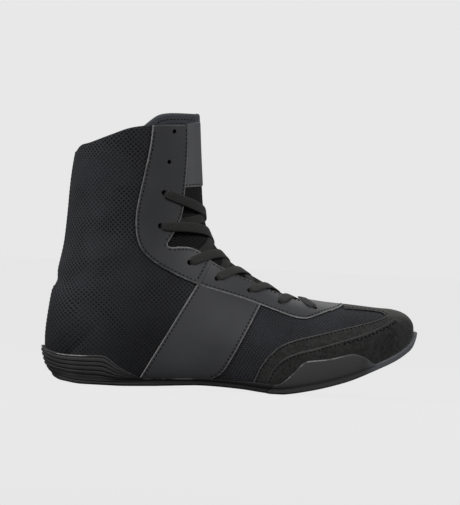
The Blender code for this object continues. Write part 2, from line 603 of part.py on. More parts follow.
def make_lace_crossing(number, places, material, collection, helpers):
    """Two joined bands that cross over the tongue, from a pair of eyelets to the pair below."""
    above = GAP + OVERLAY + 2 * GAP
    below = -WALL + TONGUE_BULGE + TONGUE_PATCH + GAP
    ridge_row = locate(LACE_RIDGE[number - 1:number])[0, 0]
    rows, turns = crossing_path(places[number], places[number - 1], ridge_row, 10)
    drop = np.clip((np.linspace(0, 1, len(rows)) - 0.45) / 0.5, 0, 1)
    lifts = above + (below - above) * drop * drop * (3 - 2 * drop)
    rows = np.maximum(rows, THROAT_ROW + 0.3)
    objects = [band(f"band_{number}_{side}", np.stack([rows, side * turns], axis=1), lifts, LACE_WIDTH,
                    helpers) for side in (1, -1)]
    mesh = solid_mesh(objects[0])
    other = as_cutter(bpy.data.objects.new(f"crossing_helper_{number}", solid_mesh(objects[1])))
    helpers.objects.link(other)
    obj = new_object(f"lace_crossing_{number}", mesh, material, collection)
    union = obj.modifiers.new("Join", "BOOLEAN")
    union.operation = "UNION"
    union.object = other
    return obj


def make_lace_bar(places, material, collection, helpers):
    """The lowest run of the lace, across the vamp between the first eyelets and drawn back a little."""
    share = np.linspace(-1, 1, 11)
    turns = (places[0][1] - LACE_END_TURN) * share
    drawn_back = locate(BAR_RIDGE)[0, 0] - places[0][0]
    path = np.stack([places[0][0] + drawn_back * (1 - share ** 2), turns], axis=1)
    mesh = solid_mesh(band("bar_band", path, 0 * share + GAP + OVERLAY + GAP, LACE_WIDTH, helpers))
    return new_object("lace_bar", mesh, material, collection)


def punch_eyelets(places, pieces, helpers):
    """Cuts the eyelets through the eyestay and the upper behind it."""
    bm = bmesh.new()
    for row, turn in places:
        for side in (-1, 1):
            centre = last_point(row, side * turn)
            axis = last_normal(row, side * turn)
            radius = EYELET_DIAMETER / 2 * MM
            made = bmesh.ops.create_cone(bm, cap_ends=True, segments=EYELET_SIDES, radius1=radius,
                                         radius2=radius, depth=PUNCH_LENGTH * MM)
            across = np.cross((0.0, 0.0, 1.0), axis)
            across /= np.linalg.norm(across)
            axes = np.stack([across, np.cross(axis, across), axis], axis=1)
            for vertex in made["verts"]:
                vertex.co = axes @ np.array(vertex.co) + centre * MM
    mesh = bpy.data.meshes.new("eyelet_punch")
    bm.to_mesh(mesh)
    bm.free()
    punch = as_cutter(bpy.data.objects.new("eyelet_punch", mesh))
    helpers.objects.link(punch)
    for piece in pieces:
        cut = piece.modifiers.new("Eyelets", "BOOLEAN")
        cut.operation = "DIFFERENCE"
        cut.object = punch


def make_material(name, colour, roughness):
    """A plain finish."""
    material = bpy.data.materials.new(name)
    material.use_nodes = True
    shader = material.node_tree.nodes["Principled BSDF"]
    shader.inputs["Base Color"].default_value = (*colour, 1.0)
    shader.inputs["Roughness"].default_value = roughness
    shader.inputs["Metallic"].default_value = 0.0
    return material


def make_collection(name):
    """A collection in the scene."""
    collection = bpy.data.collections.new(name)
    bpy.context.scene.collection.children.link(collection)
    return collection


def main():
    """Builds the shoe."""
    for obj in list(bpy.data.objects):
        bpy.data.objects.remove(obj)
    shoe = make_collection("boxing_shoe")
    helpers = make_collection("helpers")
    mesh_cloth = make_material("mesh_cloth", (0.012, 0.012, 0.014), 0.85)
    leather = make_material("synthetic_leather", (0.042, 0.041, 0.045), 0.55)
    suede = make_material("suede", (0.014, 0.014, 0.014), 0.95)
    rubber = make_material("rubber", (0.03, 0.03, 0.031), 0.6)
    lining = make_material("lining", (0.015, 0.015, 0.016), 0.9)
    cord = make_material("lace", (0.022, 0.022, 0.021), 0.85)
    places = locate(EYELETS)
    upper = make_upper(mesh_cloth, shoe)
    eyestay = make_eyestay(leather, shoe)
    punch_eyelets(places, [upper, eyestay], helpers)
    make_saddle("saddle_outer", -1, leather, shoe)
    make_saddle("saddle_inner", 1, leather, shoe)
    make_toe_cap(suede, shoe)
    make_outsole(rubber, shoe)
    make_insole(lining, shoe)
    make_tongue(mesh_cloth, shoe)
    make_tongue_patch(leather, shoe)
    for number in range(1, LACED_EYELETS):
        make_lace_crossing(number, places, cord, shoe, helpers)
    make_lace_bar(places, cord, shoe, helpers)


main()
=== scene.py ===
"""Looks of a high-top boxing shoe for the right foot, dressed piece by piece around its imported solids.

Sizes are millimetres in the shoe's own frame: x runs from heel to toe, y from the outer to the inner side,
and z up from the floor. Meshes are scaled to metres as they are made.
"""

from __future__ import annotations

import logging
import math
from dataclasses import dataclass
from enum import Enum
from typing import Any, NamedTuple, Sequence

import bpy
import numpy as np
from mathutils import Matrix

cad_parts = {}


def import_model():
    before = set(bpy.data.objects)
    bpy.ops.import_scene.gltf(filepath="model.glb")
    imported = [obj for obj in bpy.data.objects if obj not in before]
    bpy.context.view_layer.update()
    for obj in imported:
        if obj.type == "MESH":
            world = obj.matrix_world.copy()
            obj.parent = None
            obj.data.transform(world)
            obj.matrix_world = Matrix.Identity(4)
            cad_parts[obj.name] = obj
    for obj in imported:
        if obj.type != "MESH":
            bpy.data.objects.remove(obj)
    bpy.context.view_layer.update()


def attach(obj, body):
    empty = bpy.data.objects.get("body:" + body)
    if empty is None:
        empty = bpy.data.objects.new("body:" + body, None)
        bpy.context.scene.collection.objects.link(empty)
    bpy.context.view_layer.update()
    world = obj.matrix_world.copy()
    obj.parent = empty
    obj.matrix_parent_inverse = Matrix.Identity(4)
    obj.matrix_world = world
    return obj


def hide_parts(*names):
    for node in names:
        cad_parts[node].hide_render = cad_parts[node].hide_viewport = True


LOG = logging.getLogger("boxing_shoe")
MM = 0.001
BODY = "root"

Piece = bpy.types.Object
Material = bpy.types.Material
Array = np.ndarray
Span = tuple[float, float]
Outline = Sequence[Span]


class Side(Enum):
    """The two sides of the shoe, with the sign of y on each."""

    OUTER = -1
    INNER = 1


class Slot(Enum):
    """The record's material slots."""

    RUBBER = "rubber"
    LINING = "lining"
    MESH_CLOTH = "mesh_cloth"
    LEATHER = "synthetic_leather"
    SUEDE = "suede"
    LACE = "lace"


class Section(NamedTuple):
    """One cross-section of the last, in a plane that stands across the shoe."""

    low_x: Any  # lower end, on the sole's edge or on the back seam
    low_z: Any
    top_x: Any  # upper end, on the ridge over toe, instep and shin
    top_z: Any
    half_width: Any  # at the widest point
    seat_width: Any  # half width at the lower end, 0 where the section closes behind the heel
    centre_y: Any  # how far the middle swings to the inner side
    widest: Any  # share of the way up at which it is widest
    top_power: Any  # roundness above the widest point: 2 is an ellipse, less is more peaked
    low_power: Any  # roundness below it


SECTIONS = (
    Section(138.4, 51.2, 138.4, 51.2, 0.0, 0.0, 10.0, 0.40, 2.2, 2.2),
    Section(135.7, 43.6, 137.2, 58.0, 14.0, 11.5, 9.6, 0.40, 2.2, 2.2),
    Section(130.8, 38.3, 132.0, 63.6, 22.3, 19.3, 9.0, 0.40, 2.2, 2.2),
    Section(122.4, 32.3, 122.8, 66.6, 31.2, 28.2, 8.0, 0.38, 2.2, 2.2),
    Section(109.3, 25.5, 108.6, 67.4, 39.0, 35.7, 6.3, 0.36, 2.2, 2.2),
    Section(89.2, 16.2, 90.0, 68.8, 44.6, 41.2, 4.0, 0.34, 2.1, 2.2),
    Section(63.0, 8.4, 65.6, 70.4, 47.0, 43.6, 1.5, 0.32, 2.0, 2.2),
    Section(36.5, 4.1, 44.1, 74.2, 46.0, 42.4, -0.5, 0.30, 1.95, 2.2),
    Section(9.7, 6.2, 24.8, 83.6, 42.6, 38.6, -1.5, 0.30, 1.9, 2.2),
    Section(-16.9, 7.2, 7.8, 92.6, 39.4, 35.0, -1.8, 0.30, 1.9, 2.2),
    Section(-47.3, 6.2, -4.6, 101.6, 37.0, 32.4, -1.4, 0.31, 1.95, 2.25),
    Section(-77.6, 4.7, -11.8, 110.0, 35.8, 31.2, -0.8, 0.34, 2.05, 2.3),
    Section(-100.4, 4.3, -16.6, 117.2, 35.2, 30.0, -0.3, 0.38, 2.1, 2.4),
    Section(-118.0, 5.4, -19.6, 124.6, 34.8, 24.6, 0.0, 0.42, 2.15, 2.5),
    Section(-130.4, 9.7, -21.4, 131.3, 34.4, 0.0, 0.0, 0.45, 2.2, 2.6),
    Section(-136.9, 18.5, -22.4, 137.4, 34.0, 0.0, 0.0, 0.47, 2.2, 2.65),
    Section(-139.4, 32.8, -23.6, 145.7, 33.8, 0.0, 0.0, 0.48, 2.2, 2.6),
    Section(-135.8, 69.5, -25.2, 162.2, 33.8, 0.0, 0.0, 0.50, 2.25, 2.4),
    Section(-129.2, 107.9, -26.6, 176.5, 34.8, 0.0, 0.0, 0.52, 2.25, 2.25),
    Section(-126.6, 153.7, -27.9, 191.3, 36.4, 0.0, 0.0, 0.53, 2.25, 2.2),
    Section(-124.2, 176.6, -28.9, 203.0, 37.4, 0.0, 0.0, 0.53, 2.25, 2.2),
    Section(-122.0, 195.0, -30.2, 219.2, 38.2, 0.0, 0.0, 0.53, 2.25, 2.2),
)
LAST_ROW = len(SECTIONS) - 1
COLLAR_ROW = LAST_ROW - 1
MIDDLE_Y = 1.34  # half way between the widest points of the sole, where the frame has y = 0
HEEL_ROW = 14  # the first section that closes behind the heel
WAIST_ROW = 11  # behind this section the cup of the sole fans out round the heel
RIM_BACK_ROW = 15.7  # where the cup's rim meets the back seam
PAD_EDGE_ROW = 7.12  # where the pad of the forefoot ends in a step

# Outlines of the pieces, as points (x, z) seen from the side
COLLAR_LINE = (
    (-124.4, 175.6), (-119.5, 181.0), (-110.5, 183.8), (-92.6, 190.6), (-73.9, 197.4), (-56.0, 200.6),
    (-43.0, 201.6), (-29.8, 202.0),
)
THROAT_EDGE = (
    (-40.3, 202.0), (-39.5, 186.3), (-39.3, 168.1), (-39.9, 146.2), (-41.0, 131.0), (-46.0, 117.5),
    (-50.6, 109.4), (-48.0, 106.6), (-41.1, 107.2), (-33.0, 107.0), (-25.7, 104.1), (-17.0, 97.7),
    (-7.1, 92.0), (5.6, 86.4), (14.1, 83.6), (24.3, 79.4), (36.7, 74.2), (47.0, 71.4), (54.5, 70.2),
)
EYESTAY_EDGE = (
    (-66.0, 200.0), (-67.4, 181.5), (-70.5, 161.2), (-73.4, 144.3), (-75.2, 130.1), (-74.7, 117.9),
    (-72.4, 108.9), (-67.4, 100.9), (-58.7, 94.0), (-48.5, 88.5), (-26.7, 79.5), (6.5, 70.8), (21.9, 66.2),
    (36.6, 61.4), (46.7, 58.4), (57.4, 57.4), (64.9, 60.1), (73.0, 63.6), (81.3, 66.6), (86.6, 69.8),
)
EYESTAY_SEAM = ((-18.5, 97.6), (-26.4, 80.1))
SADDLE_BACK = ((-26.7, 79.0), (-46.0, 43.5), (-65.8, 7.7))
SADDLE_FRONT = ((21.9, 65.4), (12.9, 45.8), (3.7, 27.0), (-4.0, 14.2), (-12.0, 8.9))
CAP_EDGE = (
    (19.9, 8.5), (24.5, 20.0), (31.1, 29.4), (39.9, 37.1), (50.8, 41.7), (63.9, 45.4), (84.0, 51.1),
    (104.1, 56.7), (114.1, 60.3), (117.2, 63.0),
)
CAP_STRIP_EDGE = ((117.2, 63.0), (111.8, 65.2), (93.5, 66.2), (82.1, 66.2))
FOXING_EDGE = (
    (29.6, 9.0), (34.7, 19.5), (42.4, 27.0), (53.4, 32.1), (66.4, 35.8), (84.4, 41.9), (99.5, 47.3),
    (114.4, 54.2), (123.3, 59.8),
)
CUP_RIM = (
    (140.2, 51.0), (136.2, 43.4), (126.5, 34.6), (111.0, 25.4), (107.4, 26.2), (101.4, 30.6), (96.0, 32.6),
    (91.1, 33.0), (74.8, 28.7), (59.8, 26.3), (54.9, 23.0), (48.2, 15.1), (38.3, 7.4), (20.1, 8.0),
    (-20.7, 8.8), (-63.4, 7.0), (-67.6, 8.0), (-78.2, 12.3), (-85.0, 16.4), (-89.6, 19.8), (-95.6, 22.3),
    (-112.0, 21.8), (-126.1, 22.2), (-135.4, 24.8), (-139.6, 29.0),
)
TONGUE_TOP = ((-76.0, 194.0), (-70.6, 198.8), (-62.4, 205.0), (-54.0, 207.3), (-42.0, 208.2), (-31.7, 208.6))
TONGUE_SIDE = (
    (-76.0, 196.0), (-74.0, 160.0), (-72.0, 125.0), (-58.0, 101.0), (-20.0, 86.0), (20.0, 70.0),
    (52.0, 62.0),
)
PATCH_LOW_EDGE = ((-25.4, 153.8), (-33.0, 152.8), (-41.0, 151.2))
EYELETS = (
    (63.1, 65.2), (36.7, 68.4), (13.2, 76.2), (-11.7, 84.1), (-33.2, 95.4), (-56.6, 122.3), (-55.2, 147.5),
    (-52.7, 170.9), (-50.0, 194.0),
)
LACED = 7  # pairs of eyelets that the lace runs through
BAR_RIDGE = ((53.6, 72.9),)  # where the lowest run, drawn back by the lacing, meets the ridge
LACE_RIDGE = ((49.0, 73.0), (33.0, 79.3), (10.5, 90.8), (-6.0, 101.1), (-16.6, 117.2), (-21.8, 133.3))


def ease(share: Any) -> Any:
    """A share from 0 to 1, eased at both ends."""
    share = np.clip(share, 0, 1)
    return share * share * (3 - 2 * share)


def smooth(table: Any, place: Any) -> Array:
    """Values of a table's columns at fractional rows, on a Catmull-Rom curve through the rows.

    Args:
        table: rows of numbers.
        place: fractional row numbers, of any shape.

    Returns:
        An array of the shape of place, with the table's columns last.
    """
    table = np.asarray(table, float)
    place = np.clip(np.asarray(place, float), 0, len(table) - 1)
    row = np.minimum(place.astype(int), len(table) - 2)
    share = (place - row)[..., None]
    before, start = table[np.maximum(row - 1, 0)], table[row]
    end, after = table[row + 1], table[np.minimum(row + 2, len(table) - 1)]
    slope_in = np.where((row == 0)[..., None], end - start, (end - before) / 2)
    slope_out = np.where((row == len(table) - 2)[..., None], end - start, (after - start) / 2)
    return (start * (1 + 2 * share) * (1 - share) ** 2 + slope_in * share * (1 - share) ** 2
            + end * share ** 2 * (3 - 2 * share) + slope_out * share ** 2 * (share - 1))


def unit(vectors: Array) -> Array:
    """Vectors brought to a length of 1."""
    return vectors / np.linalg.norm(vectors, axis=-1, keepdims=True)


def lengths_along(points: Array) -> Array:
    """The length of a run of points from its start to each of them."""
    return np.concatenate([[0], np.cumsum(np.linalg.norm(np.diff(points, axis=0), axis=1))])


def read_off(table: Array, way: Array, at: Array) -> Array:
    """Rows of a table at new places along its way, on straight lines between its own."""
    return np.column_stack([np.interp(at, way, column) for column in table.T])


def rounded(away: Array, radius: float) -> Array:
    """How far a rounded edge has come down: 1 at the very edge, and 0 from a radius away."""
    fall = 1 - np.minimum(away / radius, 1)
    return 1 - np.sqrt(1 - fall ** 2)


@dataclass(frozen=True)
class Crease:
    """A soft trough in the upper along a line of the side view, or a ridge where its depth is negative."""

    start: Span
    end: Span
    depth: float
    width: float

    def rise(self, x: Array, z: Array) -> Array:
        """How far the surface rises at places of the side view.

        Args:
            x: their x.
            z: their heights.

        Returns:
            The rise at each.
        """
        start, end = np.array(self.start), np.array(self.end)
        run = end - start
        share = np.clip(((x - start[0]) * run[0] + (z - start[1]) * run[1]) / (run @ run), 0, 1)
        away = (x - start[0] - share * run[0]) ** 2 + (z - start[1] - share * run[1]) ** 2
        return -self.depth * np.exp(-away / self.width ** 2) * (0.3 + 0.7 * np.sin(math.pi * share))


CREASES = (
    Crease((-82.0, 122.0), (-122.0, 104.0), 0.9, 8.0),
    Crease((-84.0, 104.0), (-120.0, 88.0), -0.5, 6.0),
    Crease((-78.0, 92.0), (-112.0, 76.0), 0.6, 6.0),
    Crease((-92.0, 150.0), (-118.0, 132.0), 0.5, 9.0),
    Crease((52.0, 60.0), (44.0, 40.0), 0.5, 4.0),
    Crease((64.0, 62.0), (60.0, 47.0), -0.3, 4.0),
    Crease((78.0, 64.0), (74.0, 50.0), 0.45, 4.0),
    Crease((-14.0, 70.0), (-30.0, 30.0), 0.35, 9.0),
)


class ShoeLast:
    """The last that the shoe is made on: sections from the toe, row 0, over the heel to above the collar.

    A place on it is a row and a turn, which runs from -1 at the lower end on the outer side, over 0 on the
    ridge, to 1 at the lower end on the inner side.
    """

    counter_rise = 0.45  # how far the stiffened heel stands out below its upper edge, and the shaft in above
    counter_top = 74.0  # height of that edge at the back
    counter_back = -135.0
    counter_slope = 0.9  # how fast it falls towards the front
    counter_soft = 5.0  # height over which the edge is rounded
    counter_span = (-122.0, -92.0)  # x from its full rise to none
    counter_foot = (25.0, 45.0)  # heights over which it comes out above the sole
    dent_depth = 1.8  # of the fold above the stiffened heel, at the back
    dent_height = 77.5
    dent_spread = 5.5
    dent_span = (-126.0, -108.0)  # x from its full depth to none
    tape_rise = 0.5  # of the tape down the back
    tape_width = 4.5  # half of its width
    tape_front = -100.0

    def __init__(self) -> None:
        """Finds the outlines that several pieces share."""
        self.throat = self.edge(THROAT_EDGE)
        self.eyestay = self.edge(EYESTAY_EDGE)
        collar = self.edge(COLLAR_LINE)
        self.collar = collar[np.argsort(collar[:, 1])]
        self.throat_row = self.throat[0, 0]
        self.eyelets = self.locate(EYELETS)

    def section(self, row: Any) -> Section:
        """The section at fractional rows. Widths are smoothed as squares, to end round.

        Args:
            row: row numbers, of any shape.

        Returns:
            A section whose values have that shape.
        """
        table = np.array(SECTIONS, float)
        widths = [Section._fields.index("half_width"), Section._fields.index("seat_width")]
        table[:, widths] **= 2
        values = smooth(table, row)
        values[..., widths] = np.sqrt(np.maximum(values[..., widths], 0))
        return Section(*np.moveaxis(values, -1, 0))

    def point(self, row: Any, turn: Any) -> Array:
        """Points of the last's surface, in millimetres.

        Args:
            row: fractional rows.
            turn: turns.

        Returns:
            A point for each place.
        """
        row, turn = np.broadcast_arrays(np.asarray(row, float), np.asarray(turn, float))
        section = self.section(row)
        angle = np.abs(turn) * math.pi
        upper = angle <= math.pi / 2
        power = np.where(upper, section.top_power, section.low_power)
        rise = np.abs(np.cos(angle)) ** (2 / power)
        swell = np.sin(np.clip(angle, 0, math.pi)) ** (2 / power)
        height = np.where(upper, section.widest + (1 - section.widest) * rise, section.widest * (1 - rise))
        seat = np.where(upper, 0, np.minimum(section.seat_width, section.half_width))
        reach = seat + (section.half_width - seat) * swell
        x = section.low_x + height * (section.top_x - section.low_x)
        z = section.low_z + height * (section.top_z - section.low_z)
        return np.stack([x, section.centre_y - MIDDLE_Y + np.sign(turn) * reach, z], axis=-1)

    def normal(self, row: Any, turn: Any, step: float = 0.02) -> Array:
        """Unit normals of the surface, out of the shoe; straight ahead at the tip of the toe.

        Args:
            row: fractional rows.
            turn: turns.
            step: rows and turns to the neighbours that give the slope.

        Returns:
            A normal for each place.
        """
        row, turn = np.broadcast_arrays(np.asarray(row, float), np.asarray(turn, float))
        at_tip = row < 1e-6
        row = np.clip(row, step, LAST_ROW - step)
        along = self.point(row + step, turn) - self.point(row - step, turn)
        inner = np.clip(turn, -1 + step, 1 - step)
        around = self.point(row, inner + step) - self.point(row, inner - step)
        normal = np.cross(around, along)
        return unit(np.where(at_tip[..., None], (1.0, 0.0, 0.0), normal))

    def relief(self, points: Array) -> Array:
        """How far the worn upper rises over the last: soft creases, and the edge of the stiffened heel.

        Args:
            points: places on the last.

        Returns:
            The rise at each.
        """
        x, y, z = np.moveaxis(points, -1, 0)
        creased = sum(crease.rise(x, z) for crease in CREASES)
        edge_z = self.counter_top - self.counter_slope * (x - self.counter_back)
        below_edge = 2 * ease((edge_z - z) / self.counter_soft + 0.5) - 1
        above_sole = ease(np.interp(z, self.counter_foot, (0, 1)))
        stiffened = self.counter_rise * np.interp(x, self.counter_span, (1, 0)) * below_edge * above_sole
        folded = np.interp(x, self.dent_span, (1, 0)) ** 2
        dent = self.dent_depth * folded * np.exp(-((z - self.dent_height) / self.dent_spread) ** 2)
        tape = self.tape_rise * np.exp(-(y / self.tape_width) ** 8) * (x < self.tape_front)
        return creased + stiffened - dent + tape

    def skin(self, row: Any, turn: Any, lift: Any) -> Array:
        """Points a distance off the surface of the worn upper.

        Args:
            row: fractional rows.
            turn: turns.
            lift: the distance.

        Returns:
            A point for each place.
        """
        row, turn, lift = np.broadcast_arrays(row, turn, lift)
        points = self.point(row, turn)
        return points + self.normal(row, turn) * (lift + self.relief(points))[..., None]

    def locate(self, points: Outline, samples: int = 4201) -> Array:
        """(row, turn) of points of the side view, with turn counted from 0 on the ridge to 1.

        Args:
            points: pairs (x, z).
            samples: rows that are tried.

        Returns:
            A row and a turn for each point.
        """
        rows = np.linspace(0.01, LAST_ROW, samples)
        section = self.section(rows)
        across_x, across_z = section.top_x - section.low_x, section.top_z - section.low_z
        found = []
        for x, z in points:
            side = across_x * (z - section.low_z) - across_z * (x - section.low_x)
            height = ((x - section.low_x) * across_x + (z - section.low_z) * across_z) / np.maximum(
                across_x ** 2 + across_z ** 2, 1e-9)
            crossings = np.nonzero(side[:-1] * side[1:] <= 0)[0]
            outside = np.maximum(np.abs(height[crossings] - 0.5) - 0.5, 0)
            at = crossings[np.argmin(outside)] if len(crossings) else 0
            share = side[at] / (side[at] - side[at + 1]) if side[at] != side[at + 1] else 0.0
            row = rows[at] + share * (rows[at + 1] - rows[at])
            here = self.section(np.array(row))
            level = np.clip(height[at] + share * (height[at + 1] - height[at]), 0, 1)
            if level >= here.widest:
                angle = math.acos(((level - here.widest) / (1 - here.widest)) ** (here.top_power / 2))
            else:
                angle = math.pi - math.acos(((here.widest - level) / here.widest) ** (here.low_power / 2))
            found.append((row, angle / math.pi))
        return np.array(found)

    def edge(self, points: Outline, steps: int = 6) -> Array:
        """(row, turn) along a smooth outline of the side view, in rising order of rows."""
        found = self.line(points, steps)
        return found[np.argsort(found[:, 0], kind="stable")]

    def line(self, points: Outline, steps: int = 6) -> Array:
        """(row, turn) along a smooth outline of the side view, in its own order."""
        return self.locate(smooth(points, np.linspace(0, len(points) - 1, (len(points) - 1) * steps + 1)))

    def turn_on(self, outline: Array, row: Any) -> Array:
        """The outline's turn at given rows."""
        return np.interp(row, outline[:, 0], outline[:, 1])

    def collar_row(self, turn: Any) -> Array:
        """The row at which the collar's line cuts a column of the upper."""
        return np.interp(np.abs(turn), self.collar[:, 1], self.collar[:, 0])


def both_sides(values: Array, sign: int = -1) -> Array:
    """Columns of one side, from the ridge outwards, mirrored into one run over both sides."""
    return np.concatenate([sign * values[..., :0:-1], values], axis=-1)


def crowded(count: int) -> Array:
    """Shares from 0 to 1 that crowd at both ends, where a piece's edge is rounded."""
    return (1 - np.cos(np.linspace(0, math.pi, count))) / 2


def away_from(points: Array, edges: Sequence[Array], blocks: int = 60) -> Array:
    """Distances of points from the nearest of some edges, each a run of points, in blocks to save memory.

    Args:
        points: an array of points.
        edges: the runs.
        blocks: how many blocks.

    Returns:
        The distance of each point.
    """
    border = np.concatenate([edge.reshape(-1, 3) for edge in edges])
    nearest = [np.sqrt(((block[:, None] - border) ** 2).sum(-1)).min(1)
               for block in np.array_split(points.reshape(-1, 3), blocks)]
    return np.concatenate(nearest).reshape(points.shape[:-1])


class Bench:
    """Modelling steps that the pieces share."""

    @staticmethod
    def pick(*pieces: Piece) -> None:
        """Selects these alone, and makes the first one active.

        Args:
            pieces: what is selected, if anything.
        """
        bpy.ops.object.select_all(action="DESELECT")
        for piece in pieces:
            piece.select_set(True)
        if pieces:
            bpy.context.view_layer.objects.active = pieces[0]

    @staticmethod
    def grid(name: str, points: Array, uv: Array | None = None, keep: Array | None = None,
             slots: Array | None = None, closed: bool = False) -> Piece:
        """A grid primitive shaped by an array of points, and welded where they meet.

        Args:
            name: the object's name.
            points: rows and columns of points, in millimetres.
            uv: a pair for each point, for the piece's own UV map.
            keep: which cells stay.
            slots: the material slot of each cell.
            closed: whether the grid closes on itself, so that its normals can be turned outwards.

        Returns:
            The new object, active and alone in the selection.
        """
        rows, columns = points.shape[0] - 1, points.shape[1] - 1
        Bench.pick()
        bpy.ops.mesh.primitive_grid_add(x_subdivisions=columns, y_subdivisions=rows, size=2)
        obj = bpy.context.object
        obj.name = obj.data.name = name
        mesh = obj.data
        places = np.empty(len(mesh.vertices) * 3, np.float32)
        mesh.vertices.foreach_get("co", places)
        places = places.reshape(-1, 3)
        row = np.rint((places[:, 1] + 1) / 2 * rows).astype(int)
        column = np.rint((places[:, 0] + 1) / 2 * columns).astype(int)
        mesh.vertices.foreach_set("co", (points[row, column] * MM).astype(np.float32).ravel())
        corners = np.empty(len(mesh.loops), np.int32)
        mesh.loops.foreach_get("vertex_index", corners)
        if uv is not None:
            mesh.uv_layers.active.data.foreach_set("uv", uv[row, column][corners].astype(np.float32).ravel())
        quads = corners.reshape(-1, 4)
        cell = row[quads].min(1), column[quads].min(1)
        if slots is not None:
            mesh.polygons.foreach_set("material_index", slots[cell].astype(np.int32))
        bpy.context.tool_settings.mesh_select_mode = (False, False, True)
        mesh.vertices.foreach_set("select", np.zeros(len(mesh.vertices), bool))
        mesh.edges.foreach_set("select", np.zeros(len(mesh.edges), bool))
        dropped = np.zeros(len(quads), bool) if keep is None else ~keep[cell]
        mesh.polygons.foreach_set("select", dropped)
        bpy.ops.object.mode_set(mode="EDIT")
        if dropped.any():
            bpy.ops.mesh.delete(type="FACE")
        bpy.ops.mesh.select_all(action="SELECT")
        bpy.ops.mesh.remove_doubles(threshold=0.01 * MM)
        if closed:
            bpy.ops.mesh.normals_make_consistent(inside=False)
        bpy.ops.object.mode_set(mode="OBJECT")
        return obj

    @staticmethod
    def coat(obj: Piece, *finishes: Material) -> None:
        """Gives a piece its finishes, slot by slot."""
        for finish in finishes:
            obj.data.materials.append(finish)

    @staticmethod
    def thicken(obj: Piece, thickness: float, back_slots: int = 0) -> None:
        """Gives an open sheet its thickness, inwards.

        Args:
            obj: the sheet, with its materials.
            thickness: in millimetres.
            back_slots: what is added to a face's slot on the back.
        """
        wall = obj.modifiers.new("Wall", "SOLIDIFY")
        wall.thickness = thickness * MM
        wall.offset = -1.0
        wall.use_quality_normals = True
        wall.material_offset = back_slots
        Bench.pick(obj)
        bpy.ops.object.modifier_apply(modifier=wall.name)

    @staticmethod
    def join(pieces: Sequence[Piece], name: str) -> Piece:
        """Several objects as one.

        Args:
            pieces: the objects.
            name: the name of the joined one.

        Returns:
            The joined object.
        """
        Bench.pick(*pieces)
        bpy.ops.object.join()
        joined = bpy.context.object
        joined.name = joined.data.name = name
        return joined

    @staticmethod
    def copies(template: Piece, name: str, frames: Array, centres: Array) -> Piece:
        """One joined mesh of many copies of a small shape, which is removed.

        Args:
            template: the shape, in millimetres about the origin.
            name: the new object's name.
            frames: for each copy a matrix whose columns are its axes.
            centres: for each copy its place, in millimetres.

        Returns:
            The joined object.
        """
        mesh = template.data
        local = np.array([vertex.co for vertex in mesh.vertices])
        faces = [tuple(polygon.vertices) for polygon in mesh.polygons]
        points = np.einsum("nij,vj->nvi", frames, local) + centres[:, None]
        count = len(local)
        all_faces = [tuple(corner + number * count for corner in face)
                     for number in range(len(centres)) for face in faces]
        joined = bpy.data.meshes.new(name)
        joined.from_pydata((points.reshape(-1, 3) * MM).tolist(), [], all_faces)
        joined.update()
        obj = bpy.data.objects.new(name, joined)
        bpy.context.scene.collection.objects.link(obj)
        bpy.data.objects.remove(template)
        return obj

    @staticmethod
    def dress(obj: Piece, slot: Slot, nodes: Sequence[str] = (), sharp: float = 50.0) -> None:
        """Shades a finished piece and ties it to the frame.

        Args:
            obj: the piece, with its materials.
            slot: not used.
            nodes: the solids that it stands for.
            sharp: edges over this angle, in degrees, stay sharp.
        """
        Bench.pick(obj)
        bpy.ops.object.shade_smooth_by_angle(angle=math.radians(sharp))
        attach(obj, BODY)
        if nodes:
            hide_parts(*nodes)
        LOG.info("%s: %d faces", obj.name, len(obj.data.polygons))


class Value:
    """A shader socket that takes part in Python expressions."""

    def __init__(self, graph: Graph, socket: bpy.types.NodeSocket) -> None:
        """Wraps an output socket of a graph."""
        self.graph = graph
        self.socket = socket

    def __add__(self, other: Value | float) -> Value:
        """Sum."""
        return self.graph.math("ADD", self, other)

    __radd__ = __add__

    def __sub__(self, other: Value | float) -> Value:
        """Difference."""
        return self.graph.math("SUBTRACT", self, other)

    def __rsub__(self, other: float) -> Value:
        """Difference from a number."""
        return self.graph.math("SUBTRACT", other, self)

    def __mul__(self, other: Value | float) -> Value:
        """Product."""
        return self.graph.math("MULTIPLY", self, other)

    __rmul__ = __mul__

    def __truediv__(self, other: Value | float) -> Value:
        """Quotient."""
        return self.graph.math("DIVIDE", self, other)

    def wave(self) -> Value:
        """A cosine of whole turns: 1 at each whole number."""
        return self.graph.math("COSINE", self * math.tau)

    def size(self) -> Value:
        """The number without its sign."""
        return self.graph.math("ABSOLUTE", self)

    def step(self, low: float, high: float) -> Value:
        """0 below low, 1 above high, and smooth between them."""
        return self.graph.node("ShaderNodeMapRange", {"interpolation_type": "SMOOTHSTEP"},
                               {"Value": self, "From Min": low, "From Max": high})

    def between(self, rise: Span, fall: Span) -> Value:
        """1 between two soft edges, and 0 outside them."""
        return self.step(*rise) * (1 - self.step(*fall))


